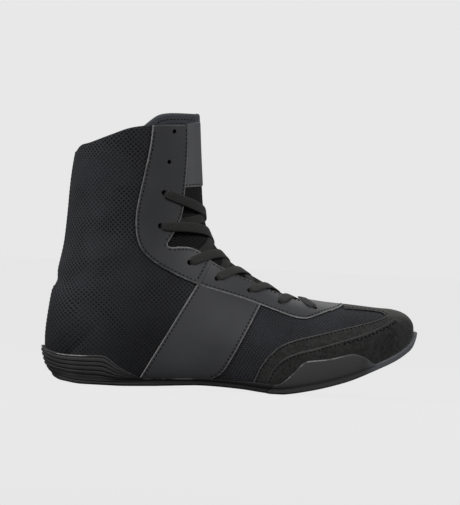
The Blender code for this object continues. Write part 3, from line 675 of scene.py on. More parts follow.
class Graph:
    """The nodes of one material, or of the world."""

    def __init__(self, name: str, world: bool = False) -> None:
        """Starts a material with a Principled shader, or a world with a background.

        Args:
            name: its name.
            world: whether it is a world.
        """
        self.owner = (bpy.data.worlds if world else bpy.data.materials).new(name)
        self.owner.use_nodes = True
        self.nodes, self.links = self.owner.node_tree.nodes, self.owner.node_tree.links
        self.shader = self.nodes["Background" if world else "Principled BSDF"]

    def node(self, kind: str, settings: dict[str, Any] | None = None, inputs: dict[Any, Any] | None = None,
             output: int | str = 0) -> Value:
        """Adds a node.

        Args:
            kind: the node's type.
            settings: its properties, set first.
            inputs: values or links of its sockets, by name or number.
            output: the output that is wanted, by name or number.

        Returns:
            That output.
        """
        made = self.nodes.new(kind)
        for key, value in (settings or {}).items():
            setattr(made, key, value)
        for key, value in (inputs or {}).items():
            self.feed(made.inputs[key], value)
        return Value(self, made.outputs[output])

    def feed(self, socket: bpy.types.NodeSocket, value: Any) -> None:
        """Links a wrapped socket, or sets a plain value.

        Args:
            socket: the input.
            value: what it gets.
        """
        if isinstance(value, Value):
            self.links.new(value.socket, socket)
        else:
            socket.default_value = value

    def math(self, operation: str, first: Any, second: Any = 0.0) -> Value:
        """A Math node."""
        return self.node("ShaderNodeMath", {"operation": operation}, {0: first, 1: second})

    def mix(self, factor: Any, first: Any, second: Any) -> Value:
        """A blend of two colours."""
        return self.node("ShaderNodeMix", {"data_type": "RGBA"}, {0: factor, 6: first, 7: second}, 2)

    def shades(self, factor: Any, low: float, high: float, cool: float = 0.0) -> Value:
        """A blend of two near-greys of one tint, by their display levels."""
        return self.mix(factor, grey(low, cool), grey(high, cool))

    def place(self) -> Value:
        """The place on the object, in metres."""
        return self.node("ShaderNodeTexCoord", output="Object")

    def split(self, vector: Value) -> tuple[Value, ...]:
        """The three numbers of a vector."""
        parts = self.node("ShaderNodeSeparateXYZ", inputs={0: vector})
        return tuple(Value(self, socket) for socket in parts.socket.node.outputs)

    def axes(self) -> tuple[Value, ...]:
        """x, y and z of the place on the object, in millimetres."""
        return tuple(number / MM for number in self.split(self.place()))

    def uv(self) -> tuple[Value, ...]:
        """The two numbers of the piece's own UV map."""
        return self.split(self.node("ShaderNodeUVMap"))[:2]

    def noise(self, scale: float, detail: float = 3.0, rough: float = 0.6) -> Value:
        """Fractal noise from 0 to 1 on the object's coordinates; scale is in waves per metre."""
        return self.node("ShaderNodeTexNoise", inputs={
            "Vector": self.place(), "Scale": scale, "Detail": detail, "Roughness": rough})

    def bump(self, height: Value, distance: float, strength: float = 1.0,
             under: Value | None = None) -> Value:
        """A bump of a height from 0 to 1 that stands for a distance in millimetres, over another bump.

        Args:
            height: the height.
            distance: what 1 stands for.
            strength: how much of it shows.
            under: the bump below.

        Returns:
            The normal.
        """
        inputs = {"Height": height, "Distance": distance * MM, "Strength": strength}
        if under:
            inputs["Normal"] = under
        return self.node("ShaderNodeBump", inputs=inputs)

    def finish(self, **sockets: Any) -> Material | bpy.types.World:
        """Feeds the shader's sockets, named with _ for a space, and gives the material or world.

        Args:
            sockets: their values or links.

        Returns:
            The material or world.
        """
        for name, value in sockets.items():
            self.feed(self.shader.inputs[name.replace("_", " ").title().replace("Ior", "IOR")], value)
        return self.owner


def grey(level: float, cool: float = 0.0) -> tuple[float, ...]:
    """A near-grey colour from a display level of 0 to 255; cool lifts blue, and lowers red a little.

    Args:
        level: the level.
        cool: levels by which blue is lifted.

    Returns:
        The colour, as linear light.
    """
    shares = np.array([level - 0.3 * cool, level, level + cool]) / 255
    linear = np.where(shares <= 0.04045, shares / 12.92, ((shares + 0.055) / 1.055) ** 2.4)
    return (*linear.tolist(), 1.0)


@dataclass(frozen=True)
class MeshCloth:
    """Knitted air mesh: rows of small holes in a diamond grid, over a fine knit."""

    name: str
    across: float = 3.5  # from hole to hole along a row
    along: float = 3.6  # from a row to the next but one
    turn: float = 0.0  # of the rows, in degrees
    thread: float = 53.0
    cool: float = 3.5
    hole: float = 3.0
    hole_from: float = 0.05
    hole_to: float = 0.5
    depth: float = 0.5
    knit_pitch: float = 1.9  # stitches of the fine knit to a millimetre
    painted_shade: float = 0.0  # how far painted shade darkens it from the heel towards the front and the sole
    shade_front: Span = (-115.0, -55.0)  # x over which it does so
    shade_foot: Span = (20.0, 85.0)  # and heights, from the sole up

    def material(self) -> Material:
        """The finish, on the piece's UV map in millimetres.

        Returns:
            The material.
        """
        graph = Graph(self.name)
        u, v = graph.uv()
        angle = math.radians(self.turn)
        along = u * math.cos(angle) + v * math.sin(angle)
        up = v * math.cos(angle) - u * math.sin(angle)
        wander = graph.noise(60, 1) * 0.5
        holes = (along / self.across + wander).wave() * (up / self.along + wander).wave()
        faint = graph.noise(35, 2).step(0.38, 0.6)
        open_share = holes.step(self.hole_from, self.hole_to) * (0.55 + faint * 0.45)
        knit = (along * self.knit_pitch).wave() * (up * self.knit_pitch).wave() * 0.5 + 0.5
        patchy = graph.noise(25, 4)
        thread = graph.shades(patchy.step(0.3, 0.7), self.thread - 5, self.thread + 5, self.cool)
        thread = graph.mix(knit * 0.35, thread, grey(self.thread * 0.6, self.cool))
        x, _, z = graph.axes()
        # painted shade: the thread darkens towards the front and towards the sole
        shade_share = x.step(*self.shade_front) * 0.6 + (1 - z.step(*self.shade_foot)) * 0.6
        thread = graph.mix(shade_share * self.painted_shade, thread, grey(self.thread * 0.38, self.cool))
        colour = graph.mix(open_share, thread, grey(self.hole))
        coarse = graph.bump(1 - open_share, self.depth)
        return graph.finish(base_color=colour, roughness=0.75 + patchy * 0.2, specular_ior_level=0.22,
                            normal=graph.bump(knit, 0.12, 0.7, coarse))


@dataclass(frozen=True)
class Leather:
    """Smooth matt synthetic leather with a fine pressed grain."""

    name: str = "leather_finish"
    level: float = 48.0
    cool: float = 2.0
    roughness: float = 0.5
    grain: float = 1600.0  # cells of the grain to a metre

    def material(self) -> Material:
        """The finish.

        Returns:
            The material.
        """
        graph = Graph(self.name)
        cloudy = graph.noise(18, 4)
        grain = graph.node("ShaderNodeTexVoronoi", {"feature": "SMOOTH_F1"},
                           {"Vector": graph.place(), "Scale": self.grain, "Smoothness": 0.6})
        fine = graph.noise(2600, 2)
        colour = graph.shades(cloudy.step(0.25, 0.75), self.level - 4, self.level + 4, self.cool)
        colour = graph.mix(fine.step(0.55, 0.8) * 0.35, colour, grey(self.level - 18, self.cool))
        pressed = graph.bump(grain, 0.07, 0.6, graph.bump(cloudy, 0.8, 0.25))
        return graph.finish(base_color=colour, roughness=self.roughness - 0.06 + cloudy * 0.14,
                            specular_ior_level=0.35, normal=graph.bump(fine, 0.03, 0.5, pressed))


@dataclass(frozen=True)
class RawEdge:
    """The pale cut edge of synthetic leather, where its backing shows."""

    name: str = "raw_edge_finish"
    level: float = 130.0

    def material(self) -> Material:
        """The finish.

        Returns:
            The material.
        """
        graph = Graph(self.name)
        fibres = graph.noise(900, 4)
        worn = graph.noise(90, 3)
        colour = graph.mix(fibres.step(0.35, 0.7), grey(self.level * 0.75), grey(self.level, -1))
        colour = graph.mix(worn.step(0.5, 0.75) * 0.6, colour, grey(self.level * 0.5))
        return graph.finish(base_color=colour, roughness=0.85, specular_ior_level=0.2,
                            normal=graph.bump(fibres, 0.15, 0.8))


@dataclass(frozen=True)
class Suede:
    """Black suede with a short nap that lies light and dark in patches."""

    name: str = "suede_finish"
    level: float = 36.0
    warm: float = -0.5
    worn_top: Span = (61.5, 63.5)  # heights over which the top of the vamp turns paler and browner

    def material(self) -> Material:
        """The finish.

        Returns:
            The material.
        """
        graph = Graph(self.name)
        nap = graph.noise(420, 5, 0.7)
        brushed = graph.noise(45, 4, 0.65)
        tips = graph.noise(3200, 2)
        _, _, z = graph.axes()
        colour = graph.shades(brushed.step(0.3, 0.72), self.level - 8, self.level + 7, self.warm)
        colour = graph.mix(z.step(*self.worn_top) * 0.7, colour, grey(self.level + 14, -4))
        colour = graph.mix(nap.step(0.42, 0.64) * 0.6, colour, grey(self.level + 18, self.warm))
        colour = graph.mix(tips.step(0.58, 0.82) * 0.3, colour, grey(self.level + 34, self.warm))
        patches = graph.bump(brushed, 0.6, 0.35)
        return graph.finish(base_color=colour, roughness=0.95, specular_ior_level=0.12, sheen_weight=0.08,
                            sheen_roughness=0.5, normal=graph.bump(nap, 0.28, 0.9, patches))


@dataclass(frozen=True)
class Rubber:
    """Dark moulded rubber with a fine bloom; the wall of the forefoot has fine moulded lines.

    A zone's soft edges lie along x or, at the slanting edge of the forefoot's pad, along x less the height.
    """

    name: str = "rubber_finish"
    level: float = 42.0
    line_pitch: float = 1.5
    line_slope: float = 0.03  # waves by which the lines fall, to a millimetre of length
    wrap_start: Span = (28.5, 29.5)
    wrap_end: Span = (98.0, 106.0)
    # the wall at the waist is painted darker, as painted shade
    waist_start: Span = (-70.0, -50.0)
    waist_end: Span = (26.5, 28.5)
    # painted shadow: a dark line in the step where the forefoot's pad ends
    pad_step_shadow: tuple[Span, Span] = ((26.8, 27.8), (28.4, 29.0))
    toe_band: Span = (100.0, 112.0)
    glue_heel: Span = (-112.0, -104.0)
    glue_waist: tuple[Span, Span] = ((-68.0, -60.0), (-26.0, -18.0))
    glue_wrap: tuple[Span, Span] = ((34.0, 40.0), (70.0, 95.0))
    glue_line: tuple[Span, Span] = ((-1.2, -0.6), (-0.25, -0.08))  # heights against the rim

    def material(self) -> Material:
        """The finish. The UV map holds the length round the sole and the height against the rim.

        Returns:
            The material.
        """
        graph = Graph(self.name)
        x, _, z = graph.axes()
        _, above_rim = graph.uv()
        bloom = graph.noise(22, 5, 0.65)
        fine = graph.noise(700, 3)
        patchy = graph.noise(70, 4, 0.7)
        slanted = x - z
        wrap = slanted.step(*self.wrap_start) * (1 - x.step(*self.wrap_end))
        # painted shade: the wall at the waist is darker
        waist_shade = x.step(*self.waist_start) * (1 - slanted.step(*self.waist_end))
        lines = (z / self.line_pitch - x * self.line_slope).wave() * 0.5 + 0.5
        glued = 1 - x.step(*self.glue_heel) + x.between(*self.glue_waist) + x.between(*self.glue_wrap)
        glue = above_rim.between(*self.glue_line) * patchy.step(0.42, 0.54) * glued
        colour = graph.shades(bloom.step(0.3, 0.75), self.level - 5, self.level + 6)
        for share, level, cool in (
            (wrap * 0.7, self.level + 22, 0),
            (waist_shade * 0.2, self.level - 12, 0),
            (slanted.between(*self.pad_step_shadow) * 0.8, 8, 0),
            (lines * wrap * 0.05, self.level - 8, 0),
            (fine.step(0.62, 0.8) * 0.25, self.level + 30, 0),
            (glue * 0.7, 140, 0),
            (x.step(*self.toe_band), 84, 4),
        ):
            colour = graph.mix(share, colour, grey(level, cool))
        moulded = graph.bump(lines * wrap, 0.1, 0.25, graph.bump(bloom, 0.5, 0.2))
        return graph.finish(base_color=colour, roughness=0.5 + bloom * 0.25, specular_ior_level=0.35,
                            normal=graph.bump(fine, 0.05, 0.6, moulded))


@dataclass(frozen=True)
class TreadRubber:
    """The underside of the sole: low herringbone grip."""

    name: str = "tread_finish"
    pitch: float = 5.0
    zigzag: float = 14.0

    def material(self) -> Material:
        """The finish.

        Returns:
            The material.
        """
        graph = Graph(self.name)
        x, y, _ = graph.axes()
        fold = (graph.math("FRACT", y / self.zigzag + 0.5) - 0.5).size() * self.zigzag
        bars = ((x + fold) / self.pitch).wave().step(-0.35, 0.1)
        fine = graph.noise(800, 3)
        colour = graph.shades(bars, 26, 46)
        colour = graph.mix(fine.step(0.55, 0.8) * 0.3, colour, grey(66))
        return graph.finish(base_color=colour, roughness=0.6 + fine * 0.2, specular_ior_level=0.3,
                            normal=graph.bump(fine, 0.05, 0.6, graph.bump(bars, 0.9)))


@dataclass(frozen=True)
class Webbing:
    """Flat woven lace: two sets of yarn that cross in a chevron."""

    name: str = "lace_finish"
    yarn: float = 1.5
    slope: float = 0.9  # of the yarn against the lace
    ribs: float = 1.05  # along the lace, to a millimetre of its width
    level: float = 50.0
    warm: float = -0.8

    def material(self) -> Material:
        """The finish, on a UV map of millimetres along the lace and round it.

        Returns:
            The material.
        """
        graph = Graph(self.name)
        u, v = graph.uv()
        weave = ((u + v.size() * self.slope) / self.yarn).wave() * 0.5 + 0.5
        ridges = (v * self.ribs).wave() * 0.5 + 0.5
        fuzz = graph.noise(1400, 3)
        colour = graph.shades(weave * 0.7 + ridges * 0.25, self.level - 24, self.level + 9, self.warm)
        colour = graph.mix(fuzz.step(0.55, 0.8) * 0.4, colour, grey(self.level + 24, self.warm))
        woven = graph.bump(weave * 0.7 + ridges * 0.4, 0.3, 0.9)
        return graph.finish(base_color=colour, roughness=0.9, specular_ior_level=0.15, sheen_weight=0.05,
                            normal=graph.bump(fuzz, 0.12, 0.6, woven))


@dataclass(frozen=True)
class Thread:
    """Twisted sewing thread."""

    name: str = "thread_finish"
    level: float = 9.0

    def material(self) -> Material:
        """The finish.

        Returns:
            The material.
        """
        graph = Graph(self.name)
        twist = graph.noise(2500, 2)
        colour = graph.shades(twist, self.level - 5, self.level + 7)
        return graph.finish(base_color=colour, roughness=0.8, specular_ior_level=0.1,
                            normal=graph.bump(twist, 0.1, 0.7))


@dataclass(frozen=True)
class Lining:
    """Fine brushed knit inside the shoe, on the insole and on the tongue's binding."""

    name: str = "lining_finish"
    level: float = 30.0
    cool: float = 0.5
    knit_pitch: float = 0.95  # stitches to a millimetre

    def material(self) -> Material:
        """The finish.

        Returns:
            The material.
        """
        graph = Graph(self.name)
        x, y, z = graph.axes()
        knit = ((x + y) * self.knit_pitch).wave() * ((z - y) * self.knit_pitch).wave() * 0.5 + 0.5
        brushed = graph.noise(40, 4)
        colour = graph.shades(knit * 0.5 + brushed * 0.5, self.level - 9, self.level + 6, self.cool)
        return graph.finish(base_color=colour, roughness=0.9, specular_ior_level=0.15, sheen_weight=0.06,
                            normal=graph.bump(knit, 0.2, 0.7, graph.bump(brushed, 0.4, 0.3)))


class Finishes:
    """The shoe's materials, each made once."""

    def __init__(self) -> None:
        """Makes every finish."""
        # The quarter's cloth carries painted shade towards the front and the sole.
        self.quarter = MeshCloth("quarter_mesh", painted_shade=0.95).material()
        self.window = MeshCloth("vamp_mesh", across=2.6, along=2.9, turn=16.0, thread=40.0, cool=3.5,
                                hole=10.0, hole_from=0.1, hole_to=0.7, depth=0.35).material()
        self.tongue = MeshCloth("tongue_mesh", across=2.2, along=2.4, thread=24.0, cool=0.5,
                                hole=6.0).material()
        self.leather = Leather().material()
        self.raw_edge = RawEdge().material()
        self.suede = Suede().material()
        self.suede_edge = RawEdge("suede_edge_finish", 74.0).material()
        self.rubber = Rubber().material()
        self.tread = TreadRubber().material()
        self.lace = Webbing().material()
        self.thread = Thread().material()
        self.lining = Lining().material()
        # The back tape is darker: partly its own colour, partly painted shade along the back edge.
        self.tape = Lining("tape_and_shade_finish", 26.0, 2.0).material()
        self.patch = Leather("patch_finish", 79.0).material()
        self.binding = Lining("binding_finish", 64.0, 5.0).material()


@dataclass
class Upper:
    """The hollow mesh upper: open at the collar, down the throat and underneath."""

    last: ShoeLast
    finishes: Finishes
    wall: float = 2.0
    collar_roll: float = 1.4  # how far the edge of the collar is rounded over
    throat_round: float = 0.35  # rows by which the throat's lower end is rounded
    rounded_rows: float = 1.1
    throat_columns: int = 9
    side_columns: int = 64
    toe_rows: int = 11
    vamp_rows: int = 55
    shaft_rows: int = 131
    collar_rows: tuple[float, ...] = (0.05, 0.03, 0.015, 0.0)  # of the rounded edge, below the collar's line
    shaft_turn: float = 0.16  # turn at which the collar meets the throat
    heel_centre: float = -78.0  # x of the middle of the shaft, behind which the weave goes round the heel
    heel_length: float = 56.0
    heel_width: float = 35.0

    def places(self) -> tuple[Array, Array, Array]:
        """Rows and turns of the upper's grid, and the cells that stay.

        Returns:
            Three arrays.
        """
        start = self.last.throat_row
        rows = np.concatenate([np.linspace(0, 1, self.toe_rows + 1)[:-1],
                               np.linspace(1, start, self.vamp_rows + 1),
                               np.linspace(start, COLLAR_ROW - 0.08, self.shaft_rows + 1)[1:],
                               COLLAR_ROW - np.array(self.collar_rows)])[:, None]
        throat_at = self.toe_rows + self.vamp_rows
        columns = np.concatenate([np.linspace(0, 1, self.throat_columns + 1)[:-1],
                                  1 + np.linspace(0, 1, self.side_columns + 1)])[None, :]
        share = np.maximum(columns - 1, 0)
        top = self.last.collar_row(share * (1 - self.shaft_turn) + self.shaft_turn)
        climb = (rows - HEEL_ROW) / (COLLAR_ROW - HEEL_ROW)
        here = np.where(rows > HEEL_ROW, HEEL_ROW + climb * (top - HEEL_ROW), rows + 0 * columns)
        dip = self.throat_round * (1 - columns ** 2) * np.exp(-((rows - start) / self.rounded_rows) ** 2)
        here = here - np.where(columns < 1, dip, 0)
        edge = self.last.turn_on(self.last.throat, np.maximum(here, start))
        turns = np.where(columns < 1, columns * edge, edge + (columns - 1) * (1 - edge))
        keep = np.ones((len(rows), 2 * (columns.shape[1] - 1)), bool)
        middle = columns.shape[1] - 1
        keep[throat_at:, middle - self.throat_columns:middle + self.throat_columns] = False
        return both_sides(here, 1), both_sides(turns), keep

    def weave(self, points: Array, ahead: Array) -> Array:
        """The UV map, in millimetres of cloth: round the heel and shaft, and over the vamp.

        Args:
            points: the upper's points.
            ahead: which of them are on the vamp.

        Returns:
            A pair for each point.
        """
        x, y, z = np.moveaxis(points, -1, 0)
        angles = np.linspace(0, math.pi / 2, 60)
        arcs = np.hypot(self.heel_length * np.cos(angles), self.heel_width * np.sin(angles))
        arcs = np.concatenate([[0], np.cumsum((arcs[1:] + arcs[:-1]) / 2 * np.diff(angles))])
        behind = np.maximum(self.heel_centre - x, 0)
        angle = np.arctan2(behind / self.heel_length, np.abs(y) / self.heel_width + 1e-6)
        round_heel = np.where(behind > 0, self.heel_centre - np.interp(angle, angles, arcs), x)
        steps = np.linalg.norm(np.diff(points, axis=1), axis=-1)
        over = np.concatenate([np.zeros((len(points), 1)), np.cumsum(steps, axis=1)], axis=1)
        over = over - over[:, points.shape[1] // 2][:, None]
        u = np.where(ahead, x, round_heel)
        return np.stack([u, np.where(ahead, -np.abs(over), z)], axis=-1)

    def build(self) -> Piece:
        """Makes the upper, with its vamp window and its lining.

        Returns:
            The upper, not punched yet.
        """
        rows, turns, keep = self.places()
        from_rim = np.arange(len(rows))[::-1, None]
        points = self.last.skin(rows, turns, -self.collar_roll * rounded(from_rim, len(self.collar_rows)))
        x, y, z = np.moveaxis(points, -1, 0)
        seams = []
        for line in (SADDLE_BACK, SADDLE_FRONT):
            seam_x, seam_z = zip(*line[::-1])
            seams.append(np.interp(z, seam_z, seam_x))
        ahead = x > sum(seams) / 2
        # the tape down the back: partly its own darker colour, partly painted shade along the back edge
        taped = (np.abs(y) < self.last.tape_width) & (x < self.last.tape_front)
        slots = np.where(taped & (turns >= 0), 2, ahead)
        slots[:, :-1] = np.maximum(slots[:, :-1], np.where(taped, 2, 0)[:, 1:])
        obj = Bench.grid("upper_cloth", points, self.weave(points, ahead), keep, slots[:-1, :-1].astype(int))
        outside = [self.finishes.quarter, self.finishes.window, self.finishes.tape]
        Bench.coat(obj, *outside, *[self.finishes.lining] * len(outside))
        Bench.thicken(obj, self.wall, back_slots=len(outside))
        return obj

    def dress(self, obj: Piece) -> None:
        """Ties it to the frame."""
        Bench.dress(obj, Slot.MESH_CLOTH, ["upper"])


@dataclass
class Overlays:
    """The sheets sewn on the upper: eyestay, saddles and toe cap, with rounded edges."""

    last: ShoeLast
    finishes: Finishes
    back: float = 0.25  # from the upper to the underside
    face: float = 1.45  # from the upper to the face
    edge_radius: float = 1.1
    edge_lift: float = 0.55  # of the face at its very edge
    raw_width: float = 0.7
    lap: float = 0.22  # rows by which the eyestay's shaft part laps over its vamp part
    lap_lift: float = 0.55
    corner: float = 4.0  # radius of the eyestay's upper front corner
    throat_most: Span = (0.6, 0.9)  # share of its turn that the throat takes, on vamp and shaft
    collar_turns: Span = (0.17, 0.4)  # turns between which the shaft part meets the collar
    collar_gap: float = 0.03  # rows that it ends below the collar
    shaft_width: float = 27.0
    shaft_row: float = 14.0  # millimetres to a row there
    saddle_face: float = 1.3
    saddle_under: float = 0.012  # turn by which a saddle reaches under the eyestay
    saddle_tuck: float = 0.75  # how much lower it lies there
    tuck_turn: float = 0.02
    cap_face: float = 1.45
    foxing_lift: float = 0.5
    cap_tuck: float = 0.95
    eyelet: float = 3.2
    laced_eyelet: float = 4.2  # those that the lace has drawn wider
    punch_length: float = 9.0

    def sheet(self, name: str, rows: Array, turns: Array, edges: Sequence[Array], face: Any,
              keep: Array | None = None, raw: Sequence[Array] | None = None,
              fine: Sequence[Array] = ()) -> Piece:
        """A sheet on the upper whose edges are rounded down.

        Args:
            name: the object's name.
            rows: rows of its grid on the last.
            turns: turns of its grid.
            edges: its free edges, as runs of points on the last.
            face: how far its face lies off the upper.
            keep: which cells stay.
            raw: the edges that show the pale backing; all of them if left out.
            fine: edges of a lap on the sheet, which show less of it.

        Returns:
            The sheet, with two slots: its face and its raw edge.
        """
        base = self.last.point(rows, turns)
        away = away_from(base, edges)
        lift = face - (face - self.edge_lift) * rounded(away, self.edge_radius)
        points = self.last.skin(rows, turns, lift)
        bare = away if raw is None else away_from(base, raw)
        if fine:
            bare = np.minimum(bare, away_from(base, fine) + 0.6 * self.raw_width)
        middle = (bare[:-1, :-1] + bare[1:, :-1] + bare[:-1, 1:] + bare[1:, 1:]) / 4
        return Bench.grid(name, points, points[..., [0, 2]], keep, (middle < self.raw_width).astype(int))

    def border(self, line: Array, side: Side) -> Array:
        """Points of the last along a line of (row, turn) on one side, about half a millimetre apart.

        Args:
            line: the line.
            side: the side.

        Returns:
            The points.
        """
        places = np.linspace(0, len(line) - 1, 40 * len(line) // 6 + 60)
        rows, turns = read_off(line, np.arange(len(line)), places).T
        return self.last.point(rows, side.value * turns)

    def seam_row(self, share: Array) -> Array:
        """The row of the seam across the eyestay, from the throat, 0, to its outer edge, 1."""
        ends = self.last.locate(EYESTAY_SEAM)
        return ends[0, 0] + (ends[1, 0] - ends[0, 0]) * share

    def build_vamp_part(self) -> Piece:
        """The eyestay's lower part: over the vamp and up both sides of the throat to the seam.

        Returns:
            The sheet.
        """
        tip, start = self.last.eyestay[0, 0], self.last.throat_row
        inner, outer = 12, 26
        columns = np.concatenate([np.linspace(0, 1, inner + 1)[:-1], 1 + crowded(outer)])[None, :]
        share = np.clip(columns - 1, 0, 1)
        ahead = (tip + 0.01 + (start - tip - 0.01) * np.linspace(0, 1, 46) ** 1.8)[:, None]
        behind = start + (self.seam_row(share) - start) * crowded(90)[1:, None]
        rows = np.concatenate([ahead + 0 * columns, behind])
        edge = self.last.turn_on(self.last.eyestay, rows)
        most = np.interp(rows, (start, HEEL_ROW - 1), self.throat_most)
        throat = np.minimum(self.last.turn_on(self.last.throat, np.maximum(rows, start)), edge * most)
        turns = np.where(columns < 1, columns * throat, throat + share * (edge - throat))
        keep = np.ones((len(rows), 2 * (columns.shape[1] - 1)), bool)
        middle = columns.shape[1] - 1
        keep[len(ahead) - 1:, middle - inner:middle + inner] = False
        rows, turns = both_sides(rows, 1), both_sides(turns)
        throat_end = self.last.point(start, np.linspace(-1, 1, 60) * self.last.throat[0, 1])
        edges = [throat_end]
        for side in Side:
            edges += [self.border(self.last.eyestay, side), self.border(self.last.throat, side)]
        return self.sheet("eyestay_vamp", rows, turns, edges, self.face, keep)

    def build_shaft_part(self, side: Side) -> Piece:
        """The eyestay's upper part on one side, lapped over the lower part at the seam.

        Args:
            side: the side.

        Returns:
            The sheet.
        """
        share = crowded(30)[None, :]
        low = self.seam_row(share) - self.lap
        high = self.last.collar_row(np.interp(share, (0, 1), self.collar_turns)) - self.collar_gap
        high = high - self.corner / self.shaft_row * rounded(share * self.shaft_width, self.corner)
        up = crowded(150)[:, None]
        rows = low + (high - low) * up
        edge = self.last.turn_on(self.last.eyestay, rows)
        throat = np.minimum(self.last.turn_on(self.last.throat, rows), edge * self.throat_most[1])
        turns = throat + share * (edge - throat)
        low_edge = self.last.point(low[0], side.value * turns[0])
        top_edge = self.last.point(rows[-1], side.value * turns[-1])
        sides = [self.border(line, side) for line in (self.last.eyestay, self.last.throat)]
        face = self.face + self.lap_lift * (1 - ease((rows - low) / (3 * self.lap)))
        edges = [*sides, top_edge, low_edge]
        way = slice(None, None, side.value)
        return self.sheet(f"eyestay_{side.name.lower()}", rows[:, way], side.value * turns[:, way],
                          edges, face[:, way], raw=sides)

    def build_saddle(self, side: Side) -> Piece:
        """The panel over the arch on one side, from under the eyestay down into the sole.

        Args:
            side: the side.

        Returns:
            The sheet.
        """
        down = np.linspace(0, 1, 70)
        back = self.last.locate(smooth(SADDLE_BACK, down * (len(SADDLE_BACK) - 1)))
        front = self.last.locate(smooth(SADDLE_FRONT, down * (len(SADDLE_FRONT) - 1)))
        across = crowded(56)[:, None]
        rows = front[None, :, 0] * (1 - across) + back[None, :, 0] * across
        turns = front[None, :, 1] * (1 - across) + back[None, :, 1] * across
        top = self.last.turn_on(self.last.eyestay, rows) - self.saddle_under
        turns = np.maximum(turns, top)
        turns[:, 0] = top[:, 0]
        edges = [self.last.point(rows[end], side.value * turns[end]) for end in (0, -1)]
        face = self.saddle_face - self.saddle_tuck * ease((top + self.tuck_turn - turns) / self.tuck_turn)
        way = slice(None, None, side.value)
        return self.sheet(f"saddle_{side.name.lower()}_leather", rows[:, way], side.value * turns[:, way],
                          edges, face[:, way])

    def build_cap(self) -> Piece:
        """The suede cap: round the toe, back along the sole's edge and up the middle of the vamp.

        Returns:
            The sheet.
        """
        low, strip, foxing = (self.last.edge(line) for line in (CAP_EDGE, CAP_STRIP_EDGE, FOXING_EDGE))
        tip = max(low[0, 0], strip[0, 0])
        tip_turn = self.last.turn_on(low, tip)
        back = np.interp(self.cap_tuck - 0.04, low[-20:, 1], low[-20:, 0])
        strip_end = self.last.eyestay[0, 0] + 0.06
        rows = np.concatenate([np.linspace(0, tip, 34), np.linspace(tip, strip_end, 40)[1:],
                               back - (back - strip_end) * np.linspace(1, 0, 70)[1:] ** 1.6])
        inner, band, wall = 14, 16, 16
        upper = np.where(rows > tip, self.last.turn_on(strip, rows), tip_turn)
        lower = np.where(rows > tip, self.last.turn_on(low, rows), tip_turn)
        step = np.clip(self.last.turn_on(foxing, rows), lower + 0.004, self.cap_tuck)
        step = np.where(rows > foxing[-1, 0], np.maximum(step, self.cap_tuck - 0.002), step)
        turns = np.concatenate([
            (1 - (1 - np.linspace(0, 1, inner + 1)) ** 1.8) * upper[:, None],
            lower[:, None] + crowded(band + 1) * (step - lower)[:, None],
            step[:, None] + np.linspace(0, 1, wall + 1)[1:] ** 1.8 * (self.cap_tuck - step)[:, None]], axis=1)
        on_foxing = np.arange(turns.shape[1]) > inner + 1 + band
        fade = ease(rows - foxing[0, 0] + 0.6)[:, None]
        face = self.cap_face + self.foxing_lift * fade * on_foxing
        keep = np.ones((len(rows) - 1, 2 * turns.shape[1] - 2), bool)
        middle = turns.shape[1] - 1
        window = rows[:-1] > tip - 1e-6
        keep[np.ix_(window, [middle + inner, middle - inner - 1])] = False
        keep[np.ix_(rows[:-1] > strip_end - 1e-6, range(middle - inner, middle + inner))] = False
        edges = []
        for side in Side:
            edges += [self.border(line, side) for line in (low, strip)]
        laps = [self.border(foxing, side) for side in Side]
        return self.sheet("cap_suede", rows[:, None] + 0 * both_sides(turns), both_sides(turns), edges,
                          both_sides(face, 1), keep, fine=laps)

    def punch(self) -> Piece:
        """The pins that punch the eyelets.

        Returns:
            The pins, as one object.
        """
        pins = []
        for number, (row, turn) in enumerate(self.last.eyelets):
            width = self.laced_eyelet if number < LACED else self.eyelet
            for side in Side:
                axis = self.last.normal(row, side.value * turn)
                centre = self.last.point(row, side.value * turn)
                Bench.pick()
                bpy.ops.mesh.primitive_cylinder_add(vertices=20, radius=width / 2 * MM,
                                                    depth=self.punch_length * MM)
                pin = bpy.context.object
                pin.rotation_euler = (math.acos(axis[2]), 0, math.atan2(axis[0], -axis[1]))
                pin.location = centre * MM
                bpy.ops.object.transform_apply()
                pins.append(pin)
        return Bench.join(pins, "eyelet_punch")

    def build(self, upper: Piece) -> dict[str, Piece]:
        """Makes every overlay, and punches the eyelets through the eyestay and the upper.

        Args:
            upper: the upper.

        Returns:
            The overlays, by the names of their solids.
        """
        parts = [self.build_vamp_part(), *(self.build_shaft_part(side) for side in Side)]
        made = {f"saddle_{side.name.lower()}": self.build_saddle(side) for side in Side}
        for obj in (*parts, *made.values()):
            Bench.coat(obj, self.finishes.leather, self.finishes.raw_edge)
        made["toe_cap"] = self.build_cap()
        Bench.coat(made["toe_cap"], self.finishes.suede, self.finishes.suede_edge)
        for obj in (*parts, *made.values()):
            Bench.thicken(obj, self.edge_lift - self.back)
        punch = self.punch()
        for obj in (*parts, upper):
            cut = obj.modifiers.new("Eyelets", "BOOLEAN")
            cut.object = punch
            cut.operation = "DIFFERENCE"
            Bench.pick(obj)
            bpy.ops.object.modifier_apply(modifier=cut.name)
        bpy.data.objects.remove(punch)
        made["eyestay"] = Bench.join(parts, "eyestay_leather")
        return made

    def dress(self, made: dict[str, Piece]) -> None:
        """Ties the overlays to the frame."""
        for name, obj in made.items():
            Bench.dress(obj, Slot.SUEDE if name == "toe_cap" else Slot.LEATHER, [name])


